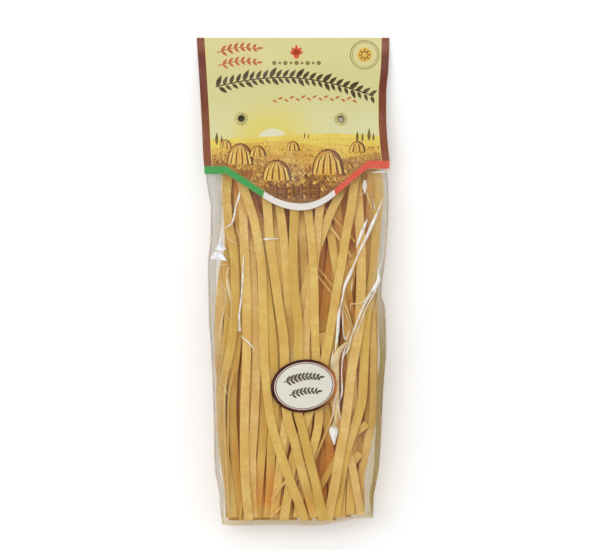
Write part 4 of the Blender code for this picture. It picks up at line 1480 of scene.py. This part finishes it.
def haystack(motifs, x, y, wide, tall):
    """A heap of cut stalks: a shaded dome with strokes that run down from its crown."""
    turns = [math.pi * i / 18 for i in range(19)]
    for share_x, share_y, shift, ink in (
        (1.0, 1.0, 0, BARK), (0.9, 0.95, -0.02 * wide, RUST), (0.66, 0.9, -0.12 * wide, AMBER),
    ):
        motifs.add([
            (x + shift + wide / 2 * share_x * math.cos(t), y + tall * share_y * math.sin(t) ** 0.8)
            for t in turns
        ], ink)
        motifs.lift += STEP_UP
    strokes = 9 if wide < 15 else 15
    thick = 0.5 + wide / 60
    for i in range(strokes):
        t = math.pi * (0.1 + 0.8 * i / (strokes - 1))
        foot = (x + 0.47 * wide * math.cos(t), y + 0.05 * tall)
        middle = (x + 0.36 * wide * math.cos(t), y + 0.55 * tall)
        top = (x + 0.1 * wide * math.cos(t), y + tall * (0.74 + 0.18 * math.sin(t)))
        widths = [thick, 0.85 * thick, 0.4 * thick]
        motifs.stroke([foot, middle, top], widths, STRAW if i % 3 else BARK)
    motifs.lift -= 3 * STEP_UP


def fence(motifs):
    """A low wooden fence before the field: two rails behind pointed posts, each with a lit side."""
    for level in (59.6, 63.6):
        motifs.stroke([(-13, level), (19, level + 0.6)], [1.7, 1.7], BARK)
        motifs.lift += STEP_UP
        motifs.stroke([(-13, level + 0.35), (19, level + 0.95)], [0.6, 0.6], RUST)
    motifs.lift += STEP_UP
    for i in range(6):
        x = -11.5 + 5.7 * i
        left, right = x - 1.2, x + 1.2
        motifs.add([(left, 57.2), (right, 57.2), (right, 65.4), (x, 66.8), (left, 65.4)], BARK)
        motifs.lift += STEP_UP
        motifs.stroke([(x - 0.4, 57.6), (x - 0.4, 65.2)], [0.9, 0.9], RUST)
        motifs.lift -= STEP_UP


def build_print():
    """The generic print of the card, and two sprigs on the sticker."""
    motifs = Motifs(card_top, 0.06)
    garland(motifs)
    sprig(motifs, -52, 156.5, 27, 0.10, 6, 5.2, ORANGE)
    sprig(motifs, -51, 147.5, 26, 0.08, 6, 4.8, ORANGE)
    for i in range(-2, 3):
        motifs.leaf(2.4, 155.5, math.pi * (0.5 + 0.2 * i), 6.8 - 0.9 * abs(i), 3.0, RED)
    motifs.disc(2.4, 154.2, 1.9, RED)
    for i in range(9):
        motifs.disc(-12.8 + 3.8 * i, 149.4, 1.0 if i % 2 else 1.5, OLIVE, 12)
    motifs.ring(49, 155, 10.0, 0.55, OLIVE)
    motifs.ring(49, 155, 8.6, 0.3, OLIVE)
    motifs.disc(49, 155, 4.9, GOLD, 32)
    for i in range(8):
        t = math.pi * i / 4
        motifs.leaf(49 + 1.2 * math.cos(t), 155 + 1.2 * math.sin(t), t, 3.4, 1.5, ORANGE)
    for i in range(15):
        y = 124.0 + 1.5 * math.sin(math.pi * i / 14)
        motifs.leaf(-14 + 3.9 * i, y, 0.5 if i % 2 else -0.5, 3.8, 1.6, ORANGE)
    for x, y, tall in TREES:
        motifs.leaf(x, y, math.pi / 2, tall, tall * 0.26, TREE)
    meadow(motifs, np.random.default_rng(8))
    motifs.lift += 0.03
    for stack in HAYSTACKS:
        haystack(motifs, *stack)
        motifs.lift += 0.004
    motifs.lift += 0.06
    fence(motifs)
    motifs.made("card_print", [ink_material(*ink) for ink in INKS], "card")

    small = Motifs(label_top, 0.05)
    for length, pairs, size, level in ((24, 9, 4.6, 4.4), (19, 7, 4.2, -5.0)):
        x, y = label_place(-length / 2 - 1.5, level)
        sprig(small, x, y, length, LABEL_TILT, pairs, size, 0)
    dark = ink_material("label_ink", (70, 54, 44), (96, 78, 64))
    small.made("label_print_marks", (dark,), "label")


# Stage

FLOOR_HALF = 4.0
WORLD_LIGHT = 0.56
AIM = (0, 0, 0.02)
# Area lights: name, place in metres, width, height, power, and whether gloss mirrors it
LIGHTS = (
    ("key_box", (-0.35, 0.25, 1.7), 1.3, 1.3, 9.0, False),
    ("left_box", (-0.95, 0.15, 0.85), 0.7, 1.1, 1.6, False),
    ("right_box", (0.95, 0.05, 0.85), 0.7, 1.1, 1.1, False),
    ("top_box", (0.05, 1.05, 0.95), 1.1, 0.6, 1.0, False),
    ("left_strip", (-0.7, 0.3, 1.0), 0.08, 0.9, 0.5, True),
    ("right_strip", (0.75, -0.2, 0.9), 0.08, 0.9, 0.4, True),
)
CAMERA_HEIGHT = 9000.0
FOCUS_HEIGHT = 2.0  # the height at which a pixel is PHOTO_SCALE wide
SENSOR = 36


def build_stage():
    """A pale floor, soft white light, and a camera far above, looking straight down."""
    mesh = bpy.data.meshes.new("floor")
    half = FLOOR_HALF
    corners = [(-half, -half, 0), (half, -half, 0), (half, half, 0), (-half, half, 0)]
    mesh.from_pydata(corners, [], [(0, 1, 2, 3)])
    floor = add_object("floor", mesh)
    n = Nodes("floor_paint")
    mesh.materials.append(n.done(n.principled(
        (0.94, 0.94, 0.94), 0.9, Specular_IOR_Level=0.1,
        Emission_Color=(1, 1, 1), Emission_Strength=0.16,
    )))

    world = bpy.data.worlds.new("studio")
    world.use_nodes = True
    background = world.node_tree.nodes["Background"]
    background.inputs["Color"].default_value = (1, 1, 1, 1)
    background.inputs["Strength"].default_value = WORLD_LIGHT
    bpy.context.scene.world = world

    for name, place, width, height, power, glint in LIGHTS:
        light = bpy.data.lights.new(name, "AREA")
        light.shape = "RECTANGLE"
        light.size = width
        light.size_y = height
        light.energy = power
        lamp = add_object(name, light)
        lamp.location = place
        lamp.rotation_euler = (Vector(AIM) - Vector(place)).to_track_quat("-Z", "Y").to_euler()
        lamp.visible_camera = False
        lamp.visible_glossy = glint

    camera = bpy.data.cameras.new("camera")
    camera.sensor_fit = "HORIZONTAL"
    camera.sensor_width = SENSOR
    camera.lens = SENSOR * (CAMERA_HEIGHT - FOCUS_HEIGHT) / (PHOTO_SIZE[0] * PHOTO_SCALE)
    camera.clip_end = 20
    viewer = add_object("camera", camera)
    x, y = plan(PHOTO_SIZE[0] / 2, PHOTO_SIZE[1] / 2)
    viewer.location = (x * MM, y * MM, CAMERA_HEIGHT * MM)
    bpy.context.scene.camera = viewer
    bpy.context.scene.view_settings.view_transform = "Standard"


build_stage()
pasta = as_piece(build_pasta(), "pasta", pasta_material())
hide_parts("bag")
film = as_piece(build_film(), "film", film_material())
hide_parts("bag")
build_folds()
build_card()
brass = brass_material()
for eyelet_name, place, spin, shut in (
    ("eyelet_left", EYELETS[0], 0.3, True), ("eyelet_right", EYELETS[1], 1.1, False),
):
    eyelet = as_piece(build_eyelet(eyelet_name + "_petals", *place, spin, shut), "eyelet", brass)
    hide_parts(eyelet_name)
label = as_piece(build_label(), "label", label_material())
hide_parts("label")
build_print()
